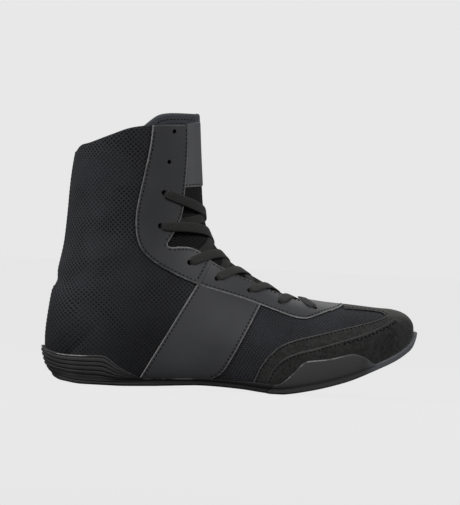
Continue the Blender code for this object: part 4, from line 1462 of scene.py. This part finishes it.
@dataclass
class Tongue:
    """The padded tongue with its bound top edge, and the leather patch on its upper half."""

    last: ShoeLast
    finishes: Finishes
    root: float = 0.45  # rows in front of the throat's end
    wall: float = 2.0
    gap: float = 0.35
    thickness: float = 3.5
    edge_round: float = 2.2
    edge_drop: float = 1.6
    bulge: Span = (2.2, 0.3)  # into the throat, on the vamp and up the shaft
    bulge_rows: Span = (8.5, 11.0)
    side_drop: float = 1.6  # how much lower it lies under the eyestay, where the lace runs
    binding: float = 8.5
    binding_lift: float = 0.5
    binding_soft: float = 0.8  # width over which its inner edge falls
    patch: float = 0.55
    patch_gap: float = 0.3
    patch_sheet: float = 0.3  # its thickness at the edge
    patch_round: float = 0.9
    patch_drop: float = 0.6
    patch_width: float = 0.97
    patch_top: float = 20.0
    fill: float = 0.5

    def lift(self, rows: Array, turns: Array) -> Array:
        """How far its face lies off the last: inside the upper, swelling into the throat.

        Args:
            rows: rows of places on it.
            turns: their turns.

        Returns:
            The distance at each place.
        """
        edge = self.last.turn_on(self.last.throat, rows)
        share = np.clip(np.abs(turns) / (edge * 0.9), 0, 1)
        under_vamp = np.clip((self.last.throat_row + 0.05 - rows) / 0.25, 0, 1)
        bulge = np.interp(rows, self.bulge_rows, self.bulge)
        swell = bulge * (1 - under_vamp) * (1 - share ** 2) ** 2
        aside = ease((np.abs(turns) / edge - 0.5) / 0.45)
        return -self.wall - (2 + under_vamp) * self.gap + swell - self.side_drop * aside

    def places(self) -> tuple[Array, Array]:
        """Rows and turns of the tongue's grid, from its root to its rounded top.

        Returns:
            Two arrays.
        """
        side, top = self.last.edge(TONGUE_SIDE), self.last.edge(TONGUE_TOP)
        top = top[np.argsort(top[:, 1])]
        share = np.linspace(0, 1, 37) ** 0.9
        low = self.last.throat_row - self.root
        high = np.interp(share * side[-1, 1], top[:, 1], top[:, 0])
        up = 1 - (1 - np.linspace(0, 1, 170)) ** 1.25
        rows = low + (high - low)[None, :] * up[:, None]
        turns = share * self.last.turn_on(side, rows)
        return both_sides(rows, 1), both_sides(turns)

    def build(self) -> tuple[Piece, Piece]:
        """Makes the tongue and its patch.

        Returns:
            Both.
        """
        rows, turns = self.places()
        base = self.last.point(rows, turns)
        border = [base[-1], base[:, 0], base[:, -1]]
        from_top = away_from(base, border[:1])
        from_edge = away_from(base, border)
        bound = from_top < self.binding
        lift = self.lift(rows, turns) - self.edge_drop * rounded(from_edge, self.edge_round)
        lift = lift + self.binding_lift * ease((self.binding - from_top) / self.binding_soft)
        points = base + self.last.normal(rows, turns) * lift[..., None]
        tongue = Bench.grid("tongue_cloth", points, points[..., [1, 2]], None, bound[:-1, :-1].astype(int))
        finishes = self.finishes
        Bench.coat(tongue, finishes.tongue, finishes.binding, finishes.lining, finishes.binding)
        Bench.thicken(tongue, self.thickness - self.edge_drop, back_slots=2)
        return tongue, self.build_patch()

    def patch_lift(self, rows: Array, turns: Array) -> Array:
        """How far the patch's face lies off the last."""
        return self.lift(rows, turns) + self.patch_gap + self.patch

    def build_patch(self) -> Piece:
        """The bare leather patch, as wide as the throat leaves free.

        Returns:
            The patch.
        """
        low = self.last.edge(PATCH_LOW_EDGE)
        share = (2 * crowded(50) - 1)[None, :]
        width = self.patch_width * self.last.turn_on(self.last.throat, LAST_ROW)
        start = np.interp(np.abs(share) * width, low[:, 1], low[:, 0])
        up = crowded(70)[:, None]
        rows = start * (1 - up) + self.patch_top * up
        turns = width * share + 0 * rows
        base = self.last.point(rows, turns)
        away = away_from(base, [base[0], base[-1], base[:, 0], base[:, -1]])
        lift = self.patch_lift(rows, turns) - self.patch_drop * rounded(away, self.patch_round)
        points = base + self.last.normal(rows, turns) * lift[..., None]
        bare = away_from(base, [base[0]])
        slots = ((bare[:-1, :-1] + bare[1:, 1:]) / 2 < self.patch_round).astype(int)
        patch = Bench.grid("patch_leather", points, points[..., [1, 2]], None, slots)
        Bench.coat(patch, self.finishes.patch, self.finishes.raw_edge)
        Bench.thicken(patch, self.patch_sheet)
        return patch

    def dress(self, tongue: Piece, patch: Piece) -> None:
        """Ties both to the frame.

        Args:
            tongue: the tongue.
            patch: its patch.
        """
        Bench.dress(tongue, Slot.MESH_CLOTH, ["tongue"])
        Bench.dress(patch, Slot.LEATHER, ["tongue_patch"])


@dataclass
class Sole:
    """The rubber cup sole with its ribbed heel and wrapped forefoot, and the loose insole inside it."""

    last: ShoeLast
    finishes: Finishes
    gap: float = 0.35
    floor: float = 4.2
    arch_rise: float = 0.9
    cup_gap: float = 0.9
    cup_gap_front: float = 2.2
    cup_gap_rows: Span = (7.5, 9.5)
    arch_rows: tuple[float, ...] = (PAD_EDGE_ROW, 7.24, 9.2, 10.2)  # where its rise starts, is full, and ends
    lip: Span = (1.3, 1.6)  # height of the rim over the floor at the toe, and elsewhere
    lip_rows: Span = (4.0, 5.0)
    bevel: float = 1.3
    tread_push: float = 0.3  # share of the wall's thickness that the tread's edge reaches
    bevel_push: float = 0.92  # and the upper end of its rounded edge
    rib_depth: float = 0.9
    rib_count: int = 5
    rib_rows: Span = (10.2, 11.4)
    rib_start: float = 0.06  # share of the wall's height
    rim_start: float = 0.93
    rim_round: float = 0.35
    wall: tuple[Span, ...] = (
        (0.0, 2.0), (3.75, 2.0), (3.9, 2.9), (6.98, 2.9), (7.1, 2.2), (11.0, 2.2), (12.0, 2.5), (14.0, 2.5))
    inside: tuple[float, ...] = (1.0, 0.8, 0.6, 0.42, 0.3, 0.2, 0.12, 0.05)  # heights of its rings
    insole: float = 3.5
    insole_inset: float = 3.0
    insole_edge: float = 0.6
    insole_dish: float = 0.5
    softenings: int = 14  # of the direction in which the wall stands off the last
    upright: float = 0.82  # turn below which that direction no longer changes
    least_lean: float = 0.75
    toe_row: float = 4.5  # where the toe begins
    toe_round: float = 1.5  # how far the rim is drawn in at the toe
    toe_snug: float = 0.6  # how much closer the wall stands there
    heel_blend: float = 0.8  # rows over which the wall leaves the last behind the waist
    heel_round: float = 2.2  # how fast the heel swells out over its seat
    heel_fill: float = 2.3  # how far the back of the heel is filled out at its seat
    heel_fill_top: float = 0.6  # share of the wall's height at which that ends
    heel_drop: float = 1.5  # how much lower the tread is there
    heel_bevel: float = 2.0  # how much wider its lower edge is rounded there

    def groove(self, rows: Array, phase: float) -> Array:
        """How deep the grooves between the heel's ribs are, one to each whole phase."""
        ribbed = np.interp(rows, self.rib_rows, (0, 1))
        return self.rib_depth * ribbed * max(0.0, math.cos(math.tau * (phase + 0.5))) ** 3

    def build_cup(self) -> Piece:
        """Makes the outsole: tread, wall, rim, and a floor that the upper stands on.

        Returns:
            The outsole.
        """
        loop = CupLoop(self)
        rows, floor_z = loop.rows, loop.floor_z
        gap = np.interp(rows, self.cup_gap_rows, (self.cup_gap_front, self.cup_gap))
        outer = gap + np.interp(rows, *zip(*self.wall))
        arch = np.interp(rows, self.arch_rows, (0, 1, 1, 0))
        toe = ease((self.toe_row - rows) / 3)
        behind = ease(rows - HEEL_ROW + 1)
        tread_z = np.maximum(floor_z - self.floor + self.arch_rise * arch - self.heel_drop * behind, 0)
        bevel, inward = self.bevel + self.heel_bevel * behind, self.heel_bevel * behind
        tread = loop.ring(0, outer * self.tread_push - inward, tread_z)
        rings = [loop.drawn_in(tread, share) for share in (0, 0.2, 0.4, 0.6, 0.8)] + [tread]
        for turn in np.linspace(0, math.pi / 2, 5)[1:]:
            rise = math.sin(turn)
            share = self.tread_push + (self.bevel_push - self.tread_push) * rise
            push = outer * share - inward * (1 - rise)
            rings.append(loop.ring(0, push, tread_z + bevel * (1 - math.cos(turn))))
        tread_rings = len(rings) - 3
        for level in np.linspace(0, 1, 12)[1:]:
            height = tread_z + bevel + (floor_z - tread_z - bevel) * level
            push = outer * (self.bevel_push + (1 - self.bevel_push) * level)
            push = push - self.groove(rows, level) * (1 - behind) + self.heel_fill * behind * level
            rings.append(loop.ring(0, push, height))
        for level in np.linspace(self.rib_start, 1, 48):
            phase = (level - self.rib_start) / (1 - self.rib_start) * self.rib_count
            at_rim = max(0.0, (level - self.rim_start) / (1 - self.rim_start))
            soften = self.rim_round * at_rim ** 2 + self.toe_round * toe * level ** 2
            fill = self.heel_fill * behind * (1 - ease(level / self.heel_fill_top))
            rings.append(loop.ring(level, outer - self.groove(rows, phase) - soften + fill))
        rim_ring = rings[-1]
        snug = gap - self.toe_snug * np.clip(self.toe_row - rows, 0, 1)
        floor = loop.ring(0, gap, floor_z)
        rings += [loop.ring(level, snug) for level in self.inside]
        rings += [floor, loop.drawn_in(floor, 0.5), loop.drawn_in(floor, 0)]
        points = np.array(rings)
        above_rim = points[..., 2] - rim_ring[:, 2]
        uv = np.stack([np.broadcast_to(lengths_along(tread), above_rim.shape), above_rim], axis=-1)
        slots = np.zeros((len(rings) - 1, points.shape[1] - 1), int)
        slots[:tread_rings] = 1
        obj = Bench.grid("sole_rubber", points, uv, None, slots, closed=True)
        Bench.coat(obj, self.finishes.rubber, self.finishes.tread)
        return obj

    def build_insole(self) -> Piece:
        """Makes the loose insole, a little dished, inside the turned-in edge of the upper.

        Returns:
            The insole.
        """
        rows = np.concatenate([[2.0, 2.08, 2.2], np.linspace(2.4, HEEL_ROW - 0.8, 90)])
        section = self.last.section(rows)
        half = np.maximum(section.seat_width - self.insole_inset, 0.5)
        over = np.linspace(-1, 1, 25)
        around = np.concatenate([over, over[::-1]])
        on_top = np.repeat([1.0, 0.0], len(over))
        width = np.sign(around) * np.abs(around) ** 0.8
        edge = self.insole_edge * np.interp(np.abs(width), (0.9, 1), (0, 1))
        dish = -self.insole_dish * (1 - width ** 2) * on_top
        height = self.insole * on_top + dish - edge * (2 * on_top - 1)
        points = np.stack([section.low_x[:, None] + 0 * width,
                           section.centre_y[:, None] - MIDDLE_Y + half[:, None] * width,
                           section.low_z[:, None] + height], axis=-1)
        points = np.concatenate([points, points[:, :1]], axis=1)
        ends = [np.repeat(points[end].mean(0)[None], points.shape[1], 0)[None] for end in (0, -1)]
        points = np.concatenate([ends[0], points, ends[1]])
        obj = Bench.grid("insole_knit", points, points[..., [0, 1]], closed=True)
        Bench.coat(obj, self.finishes.lining)
        return obj

    def dress(self, cup: Piece, insole: Piece) -> None:
        """Ties both to the frame."""
        Bench.dress(cup, Slot.RUBBER, ["outsole"], 40)
        Bench.dress(insole, Slot.LINING, ["insole"])


class CupLoop:
    """The stations round the cup sole, from the toe along the outer side to the heel and back.

    At each of them the wall climbs from its seat, on the lower edge of the last, to its rim.
    """

    def __init__(self, sole: Sole) -> None:
        """Finds the seat and the rim of every station, and how the wall climbs between them.

        Args:
            sole: the sole with its sizes.
        """
        self.sole = sole
        rows = np.concatenate([
            np.linspace(0, 1.2, 14)[:-1], np.linspace(1.2, WAIST_ROW, 130),
            WAIST_ROW + (HEEL_ROW - WAIST_ROW) * np.sin(np.linspace(0, math.pi / 2, 60)[1:])])
        fan = np.clip((rows - WAIST_ROW) / (HEEL_ROW - WAIST_ROW), 0, 1)
        rim_rows = np.where(rows > WAIST_ROW, WAIST_ROW + fan * (RIM_BACK_ROW - WAIST_ROW), rows)
        rim_turns = sole.last.turn_on(sole.last.edge(CUP_RIM), rim_rows)
        rim_turns[-1] = 1.0
        self.heel = heel = len(rows) - 1
        order = np.concatenate([np.arange(heel + 1), np.arange(heel)[::-1]])
        self.side = np.where(np.arange(len(order)) > heel, 1, -1)
        self.rows, self.rim_rows, self.rim_turns = rows[order], rim_rows[order], rim_turns[order]
        self.seat = sole.last.point(self.rows, self.side)
        self.rim = sole.last.point(self.rim_rows, self.side * self.rim_turns)
        self.rim[heel, 2] = self.rim[heel - 1, 2]
        self.floor_z = self.seat[:, 2] - sole.gap
        self.shares = np.linspace(0, 1, 61)
        rows, turns = self.up_wall(self.shares[:, None])
        climbs = sole.last.point(rows, self.side * turns)[..., 2].T
        self.climbs = (climbs - climbs[:, :1]) / np.maximum(climbs[:, -1:] - climbs[:, :1], 1e-6)

    def up_wall(self, share: Array) -> tuple[Array, Array]:
        """Rows and turns at a share of the way from the seats to the rims."""
        return self.rows + (self.rim_rows - self.rows) * share, 1 + (self.rim_turns - 1) * share

    def outward(self, points: Array, rows: Array, turns: Array) -> Array:
        """Level directions off the last along a ring, longer where the last leans over, and softened.

        Args:
            points: the ring.
            rows: its rows on the last.
            turns: its turns.

        Returns:
            A direction for each station.
        """
        sole = self.sole
        upright = sole.upright + (1 - sole.upright) * np.clip(rows - HEEL_ROW + 1, 0, 1)
        normal = sole.last.normal(rows, self.side * np.minimum(turns, upright))
        lean = np.maximum(np.linalg.norm(normal[:, :2], axis=1), sole.least_lean)
        lean = 1 - (1 - lean) * np.clip(WAIST_ROW + 1 - self.rows, 0, 1)
        ahead = np.gradient(points[:, :2], axis=0)
        outward = unit(np.stack([-ahead[:, 1], ahead[:, 0]], axis=1))
        outward[[0, -1]] = (1, 0)
        outward[self.heel] = (-1, 0)
        outward = outward / lean[:, None]
        for _ in range(sole.softenings):
            outward[1:-1] = (outward[:-2] + 2 * outward[1:-1] + outward[2:]) / 4
        return outward

    def ring(self, level: float, push: Array, z: Array | None = None) -> Array:
        """A ring of points on the wall at a share of its height, pushed off the last.

        Args:
            level: the share of the height.
            push: how far it is pushed off, at each station.
            z: its heights, if they aren't the wall's own.

        Returns:
            A point for each station.
        """
        share = np.array([np.interp(level, climb, self.shares) if climb[-1] > 0 else level
                          for climb in self.climbs])
        rows, turns = self.up_wall(share)
        points = self.sole.last.point(rows, self.side * turns)
        swell = 1 - (1 - level) ** self.sole.heel_round
        at_heel = ease((self.rows - WAIST_ROW) / self.sole.heel_blend)[:, None]
        points += (self.seat + (self.rim - self.seat) * (swell, swell, level) - points) * at_heel
        points[:, :2] += self.outward(points, rows, turns) * push[:, None]
        lip = np.interp(self.rows, self.sole.lip_rows, self.sole.lip)
        points[:, 2] = np.maximum(points[:, 2], self.floor_z + lip * level) if z is None else z
        return points

    @staticmethod
    def drawn_in(ring: Array, share: float) -> Array:
        """A ring drawn in towards the middle line."""
        middle = (ring + ring[::-1]) / 2
        return middle + (ring - middle) * share


@dataclass
class Lace:
    """One flat lace through seven pairs of eyelets: a bar over the vamp, then crossings up the tongue."""

    last: ShoeLast
    finishes: Finishes
    width: float = 7.4
    thickness: float = 1.4
    neck: float = 4.4  # its width where it is drawn into an eyelet
    taper: float = 3.6
    short: float = 0.9  # how far before the middle of an eyelet it goes down
    over: float = 2.1  # height of its middle over the eyestay
    at_ridge: Span = (-0.9, -1.8)  # and where two runs cross over the tongue, on vamp and shaft
    cross_over: float = 0.65
    bar_sag: float = 0.6  # how much lower the lowest run lies on the ridge
    depths: tuple[Span, ...] = ((0.62, -1.5), (0.85, -2.6), (1.0, -3.0), (1.3, -3.1))
    plunge: tuple[float, ...] = (-3.1, -1.8, -0.5, 0.8)  # heights through an eyelet
    least_row: float = 0.3  # of the lowest crossing behind the throat's end
    spacing: float = 1.1
    around: int = 14
    softenings: int = 3
    squareness: Span = (0.55, 0.8)  # of its cross-section, along and across: 1 is an ellipse, less is squarer
    neck_swell: float = 0.55  # how much thicker it is where it is drawn together
    still: float = 0.02  # a step shorter than this has no direction

    def rows_across(self, near: Array, far: Array, ridge: float, turns: Array) -> Array:
        """Rows along a run from an eyelet over the ridge to the far eyelet below.

        Args:
            near: (row, turn) of the eyelet that it starts from.
            far: (row, turn) of the eyelet that it goes to, on the other side.
            ridge: the row at which it meets the ridge.
            turns: its turns, from the near eyelet's, negative, to the far one's.

        Returns:
            The row at each turn. The way along the ridge is a quadratic of the turn.
        """
        direction = unit(self.last.point(ridge - 0.2, 0) - self.last.point(ridge + 0.2, 0))
        at_near, at_ridge, at_far = (self.last.point(*place) @ direction
                                     for place in (near * (1, -1), (ridge, 0), far))
        slope_near, slope_far = (at_ridge - at_near) / near[1], (at_far - at_ridge) / far[1]
        bend = (slope_far - slope_near) / (near[1] + far[1])
        wanted = at_ridge + (slope_near + bend * near[1]) * turns + bend * turns ** 2
        rows = np.linspace(self.last.throat_row - 1, LAST_ROW, 600)
        reached = self.last.point(rows[:, None], turns[None, :]) @ direction
        return np.array([np.interp(-reach, -column, rows) for reach, column in zip(wanted, reached.T)])

    def width_at(self, away: Array) -> Array:
        """Its width at distances from the nearest eyelet."""
        return self.neck + (self.width - self.neck) * ease(away / self.taper)

    def drawn_in(self, place: Array) -> Array:
        """(row, turn, height, width) straight up through an eyelet."""
        return np.array([(place[0], place[1], height, self.neck) for height in self.plunge])

    def run(self, number: int, side: Side) -> Array:
        """(row, turn, height, width) along one run, from an eyelet across the throat to the pair below.

        Args:
            number: the eyelet's number, from the toe.
            side: the side that it starts on.

        Returns:
            A row of four numbers for each place.
        """
        near, far = self.last.eyelets[number], self.last.eyelets[number - 1]
        ridge = self.last.locate(LACE_RIDGE[number - 1:number])[0, 0]
        turns = np.linspace(-near[1], far[1], 150)
        rows = self.rows_across(near, far, ridge, turns)
        edge = self.last.turn_on(self.last.throat, rows)
        in_throat = turns < 0.8 * edge
        rows = np.where(in_throat, np.maximum(rows, self.last.throat_row + self.least_row), rows)
        cross = np.interp(number, (3, 5), self.at_ridge)
        cross += self.cross_over if side is Side.OUTER else -self.cross_over
        rising = self.over + (cross - self.over) * ease(1 + turns / edge)
        shares, depths = zip(*self.depths)
        falling = np.interp(turns / edge, (0, *shares), (cross, *depths))
        height = np.where(turns < 0, rising, falling)
        points = self.last.point(rows, turns)
        to_near = np.linalg.norm(points - self.last.point(near[0], -near[1]), axis=1)
        to_far = np.linalg.norm(points - self.last.point(far[0], far[1]), axis=1)
        width = self.width_at(np.minimum(to_near, to_far))
        run = np.stack([rows, turns, height, width], axis=1)[to_near > self.short]
        return np.concatenate([self.drawn_in(run[0]), run]) * (1, -side.value, 1, 1)

    def bar(self) -> Array:
        """The same along the lowest run, across the vamp between the first eyelets.

        Returns:
            A row of four numbers for each place.
        """
        row, turn = self.last.eyelets[0]
        turns = np.linspace(-turn, turn, 80)
        rows = row + (self.last.locate(BAR_RIDGE)[0, 0] - row) * (1 - (turns / turn) ** 2)
        points = self.last.point(rows, turns)
        to_end = np.minimum(*(np.linalg.norm(points - points[end], axis=1) for end in (0, -1)))
        height = self.over - self.bar_sag * (1 - (turns / turn) ** 2)
        run = np.stack([rows, turns, height, self.width_at(to_end)], axis=1)[to_end > self.short]
        return np.concatenate([self.drawn_in(run[0]), run, self.drawn_in(run[-1])[::-1]])

    def band(self, name: str, keys: Array) -> Piece:
        """A flat woven band along places on the last, closed at both ends.

        Args:
            name: the object's name.
            keys: (row, turn, height, width) along it.

        Returns:
            The band.
        """
        row, turn, height, width = keys.T
        normal = self.last.normal(row, turn)
        base = self.last.point(row, turn)
        centre = base + normal * height[:, None]
        course = np.gradient(base, axis=0)
        moving = np.nonzero(np.linalg.norm(course, axis=1) > self.still)[0]
        nearest = np.abs(np.arange(len(course))[:, None] - moving).argmin(1)
        across = unit(np.cross(course[moving[nearest]], normal))
        way = lengths_along(centre)
        at = np.linspace(0, way[-1], int(way[-1] / self.spacing) + 1)
        table = read_off(np.column_stack([centre, across, width]), way, at)
        for _ in range(self.softenings):
            table[1:-1] = (table[:-2] + 2 * table[1:-1] + table[2:]) / 4
        centre, across, width = table[:, :3], table[:, 3:6], table[:, 6]
        ahead = unit(np.gradient(centre, axis=0))
        across = unit(across - (across * ahead).sum(1, keepdims=True) * ahead)
        up = np.cross(across, ahead)
        angle = np.linspace(0, math.tau, self.around + 1)
        wide, tall = (np.sign(wave) * np.abs(wave) ** power
                      for wave, power in zip((np.cos(angle), np.sin(angle)), self.squareness))
        aside = wide * width[:, None] / 2
        thick = self.thickness * (1 + self.neck_swell * (1 - width / self.width))
        ends = np.ones((len(centre), 1, 1))
        ends[[0, -1]] = 0
        points = centre[:, None] + ends * (across[:, None] * aside[..., None]
                                           + up[:, None] * (tall * thick[:, None] / 2)[..., None])
        uv = np.stack([np.broadcast_to(lengths_along(centre)[:, None], aside.shape), aside], axis=-1)
        return Bench.grid(name, points, uv, closed=True)

    def build(self) -> Piece:
        """Makes every run of the lace.

        Returns:
            The lace, as one object.
        """
        runs = [self.band("lace_bar_run", self.bar())]
        for number in range(1, LACED):
            runs += [self.band(f"lace_run_{number}_{side.name}", self.run(number, side)) for side in Side]
        lace = Bench.join(runs, "lace")
        Bench.coat(lace, self.finishes.lace)
        return lace

    def dress(self, lace: Piece) -> None:
        """Ties the lace to the frame."""
        nodes = ["lace_bar"] + [f"lace_crossing_{number}" for number in range(1, LACED)]
        Bench.dress(lace, Slot.LACE, nodes)


@dataclass
class Stitching:
    """The rows of sewing on the overlays and the tongue."""

    last: ShoeLast
    finishes: Finishes
    tongue: Tongue
    pitch: float = 3.2
    length: float = 2.0
    thickness: float = 0.85
    height: float = 0.6
    slant: float = 0.7  # of the zigzag along the foxing, in radians
    zigzag_inset: float = 2.3
    zigzag_bold: float = 1.45
    inset: float = 2.1
    cap_inset: float = 1.7
    back_inset: float = 3.4
    lap_inset: float = 1.3
    patch_inset: float = 1.9
    binding_inset: float = 4.8
    collar_gap: float = 0.2  # rows that a seam ends below the collar
    on_face: float = 1.5  # how far off the upper the stitches lie on the eyestay and the cap
    on_saddle: float = 1.35
    on_foxing: float = 1.95
    on_lap: float = 2.0
    on_cloth: float = 0.05

    def row(self, line: Array, side: Side, lift: Any, inset: float, slant: float = 0.0,
            bold: float = 1.0) -> tuple[Array, Array]:
        """Frames and centres of stitches beside a line.

        Args:
            line: (row, turn) along the line.
            side: the side of the shoe.
            lift: how far off the upper the stitches lie, or a function of rows and turns that gives it.
            inset: how far beside the line, to the left of its run seen from outside.
            slant: how far the stitches lean to either side in turn.
            bold: how many times the plain size they are.

        Returns:
            A matrix of axes and a place for each stitch.
        """
        dense = np.linspace(0, len(line) - 1, 30 * len(line))
        rows, turns = read_off(line, np.arange(len(line)), dense).T
        lift = lift(rows, turns) if callable(lift) else lift
        points = self.last.skin(rows, side.value * turns, lift)
        normal = self.last.normal(rows, side.value * turns)
        run = lengths_along(points)
        at = np.arange(self.pitch / 2, run[-1] - self.pitch / 2, self.pitch * bold ** 0.2)
        points, normal = read_off(points, run, at), read_off(normal, run, at)
        ahead = unit(np.gradient(points, axis=0))
        beside = unit(np.cross(normal, ahead) * -side.value)
        points = points + beside * inset
        lean = slant * (-1.0) ** np.arange(len(points))[:, None]
        ahead = ahead * np.cos(lean) + beside * np.sin(lean)
        return np.stack([ahead, np.cross(normal, ahead), normal], axis=2) * bold, points

    def below_collar(self, line: Array) -> Array:
        """The stretch of a line of (row, turn) that stays clear of the collar."""
        return line[line[:, 0] < self.last.collar_row(line[:, 1]) - self.collar_gap]

    def on_binding(self, rows: Array, turns: Array) -> Array:
        """How far the tongue's binding lies off the last."""
        return self.tongue.lift(rows, turns) + self.tongue.binding_lift

    def back_seam(self) -> Array:
        """(row, turn) up one side of the seam at the back, from the sole's rim to the collar.

        Returns:
            The line.
        """
        rows = np.linspace(RIM_BACK_ROW + 0.3, self.last.collar_row(1.0) - 0.1, 60)
        section = self.last.section(rows)
        angle = np.arcsin((self.back_inset / section.half_width) ** (section.low_power / 2))
        return np.stack([rows, 1 - angle / math.pi], axis=1)

    def build(self) -> Piece:
        """Makes the stitches as one mesh.

        Returns:
            The stitching.
        """
        line = self.last.line
        seams = [
            (self.below_collar(line(EYESTAY_EDGE)), self.on_face, self.inset),
            (self.below_collar(line(THROAT_EDGE)), self.on_face, -self.inset),
            (line(SADDLE_BACK, 12), self.on_saddle, self.inset),
            (line(SADDLE_FRONT, 12), self.on_saddle, -self.inset),
            (line(CAP_EDGE), self.on_face, -self.cap_inset),
            (line(CAP_STRIP_EDGE), self.on_face, -self.cap_inset),
            (line(FOXING_EDGE[:6]), self.on_foxing, -self.cap_inset),
            (line(FOXING_EDGE[5:]), self.on_lap, -self.zigzag_inset, self.slant, self.zigzag_bold),
            (line(EYESTAY_SEAM, 12), self.on_lap, -self.lap_inset),
            (line(PATCH_LOW_EDGE, 12), self.tongue.patch_lift, -self.patch_inset),
            (line(TONGUE_TOP[1:]), self.on_binding, -self.binding_inset),
            (self.back_seam(), self.on_cloth, 0.0),
        ]
        rows = [self.row(seam[0], side, *seam[1:]) for seam in seams for side in Side]
        frames = np.concatenate([frame for frame, _ in rows])
        centres = np.concatenate([centre for _, centre in rows])
        Bench.pick()
        bpy.ops.mesh.primitive_uv_sphere_add(segments=6, ring_count=5, radius=0.5)
        stitch = bpy.context.object
        stitch.rotation_euler = (0, math.pi / 2, 0)
        stitch.scale = (self.height, self.thickness, self.length)
        bpy.ops.object.transform_apply()
        made = Bench.copies(stitch, "stitching", frames, centres)
        Bench.coat(made, self.finishes.thread)
        return made

    def dress(self, made: Piece) -> None:
        """Ties the stitches to the frame."""
        Bench.dress(made, Slot.LACE)


@dataclass(frozen=True)
class Lamp:
    """A square soft light; its place and size are in metres, and its power in watts."""

    name: str
    place: tuple[float, float, float]
    size: float
    power: float


@dataclass
class Studio:
    """The pale floor, the soft lights and the camera at the photograph's angle."""

    pixels: tuple[int, int] = (460, 505)
    mm_per_pixel: float = 0.76
    centre_x: float = -2.9
    centre_z: float = 104.9
    roll: float = 2.96  # degrees, toe down
    distance: float = 5000.0
    sensor: float = 36.0
    backdrop: float = 232.0
    air: tuple[float, float, float, float] = (-0.6, 0.9, 0.08, 0.34)  # its light from low to high directions
    floor_glow: float = 0.98
    floor_radius: float = 40000.0
    lamps: tuple[Lamp, ...] = (
        Lamp("left", (-1.4, -0.65, 1.4), 1.0, 36.0),
        Lamp("right", (1.5, -0.9, 1.2), 0.6, 23.0),
        Lamp("front", (0.0, -2.0, 0.9), 1.2, 6.5),
        Lamp("back", (0.2, 1.3, 1.2), 1.2, 7.0),
    )

    def camera(self) -> None:
        """The level camera on the outer side, rolled as in the photograph."""
        bpy.ops.object.camera_add(location=(self.centre_x * MM, -self.distance * MM, self.centre_z * MM))
        camera = bpy.context.object
        camera.rotation_euler = (math.pi / 2, -math.radians(self.roll), 0)
        camera.data.sensor_width = self.sensor
        camera.data.lens = self.sensor * self.distance / (max(self.pixels) * self.mm_per_pixel)
        camera.data.clip_end = 2 * (self.distance + self.floor_radius) * MM
        bpy.context.scene.camera = camera

    def light(self, lamp: Lamp) -> None:
        """Hangs a light, pointed at the shoe.

        Args:
            lamp: its name, place, size and power.
        """
        bpy.ops.object.light_add(type="AREA", location=lamp.place)
        light = bpy.context.object
        light.name = lamp.name
        light.data.size = lamp.size
        light.data.energy = lamp.power
        aim = np.array(lamp.place) - (0, 0, self.centre_z * MM)
        flat = math.hypot(aim[0], aim[1])
        light.rotation_euler = (math.atan2(flat, aim[2]), 0, math.atan2(aim[0], -aim[1]))

    def surroundings(self) -> None:
        """The pale air round the shoe, as bright as the photograph's background, dimmer as a light."""
        graph = Graph("studio", world=True)
        _, _, up = graph.split(graph.node("ShaderNodeTexCoord", output="Generated"))
        low, high, dim, bright = self.air
        light = graph.node("ShaderNodeMapRange", inputs={
            "Value": up, "From Min": low, "From Max": high, "To Min": dim, "To Max": bright})
        seen = graph.node("ShaderNodeLightPath", output="Is Camera Ray")
        strength = graph.node("ShaderNodeMix", inputs={"Factor": seen, "A": light, "B": 1.0})
        bpy.context.scene.world = graph.finish(color=grey(self.backdrop), strength=strength)
        bpy.context.scene.view_settings.view_transform = "Standard"

    def floor(self) -> None:
        """A wide pale floor that glows almost as the air does and takes a faint shadow."""
        bpy.ops.mesh.primitive_circle_add(vertices=64, radius=self.floor_radius * MM, fill_type="NGON",
                                          location=(0, 0, -0.05 * MM))
        floor = bpy.context.object
        floor.name = "floor"
        graph = Graph("pale_floor")
        colour = graph.shades(graph.noise(3, 2) * 0.1, 32, 28)
        Bench.coat(floor, graph.finish(
            base_color=colour, roughness=0.9, specular_ior_level=0.0, emission_color=grey(self.backdrop),
            emission_strength=self.floor_glow))
        floor.visible_diffuse = False
        floor.visible_glossy = False

    def build(self) -> None:
        """Sets up the studio."""
        self.camera()
        self.surroundings()
        self.floor()
        for lamp in self.lamps:
            self.light(lamp)


def main() -> None:
    """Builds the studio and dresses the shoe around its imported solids."""
    logging.basicConfig(level=logging.INFO, format="%(name)s %(message)s")
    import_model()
    last, finishes = ShoeLast(), Finishes()
    Studio().build()
    upper_maker, overlays = Upper(last, finishes), Overlays(last, finishes)
    upper = upper_maker.build()
    sewn = overlays.build(upper)
    upper_maker.dress(upper)
    overlays.dress(sewn)
    tongue_maker = Tongue(last, finishes)
    tongue_maker.dress(*tongue_maker.build())
    sole = Sole(last, finishes)
    sole.dress(sole.build_cup(), sole.build_insole())
    lace = Lace(last, finishes)
    lace.dress(lace.build())
    stitching = Stitching(last, finishes, tongue_maker)
    stitching.dress(stitching.build())


if __name__ == "__main__":
    main()
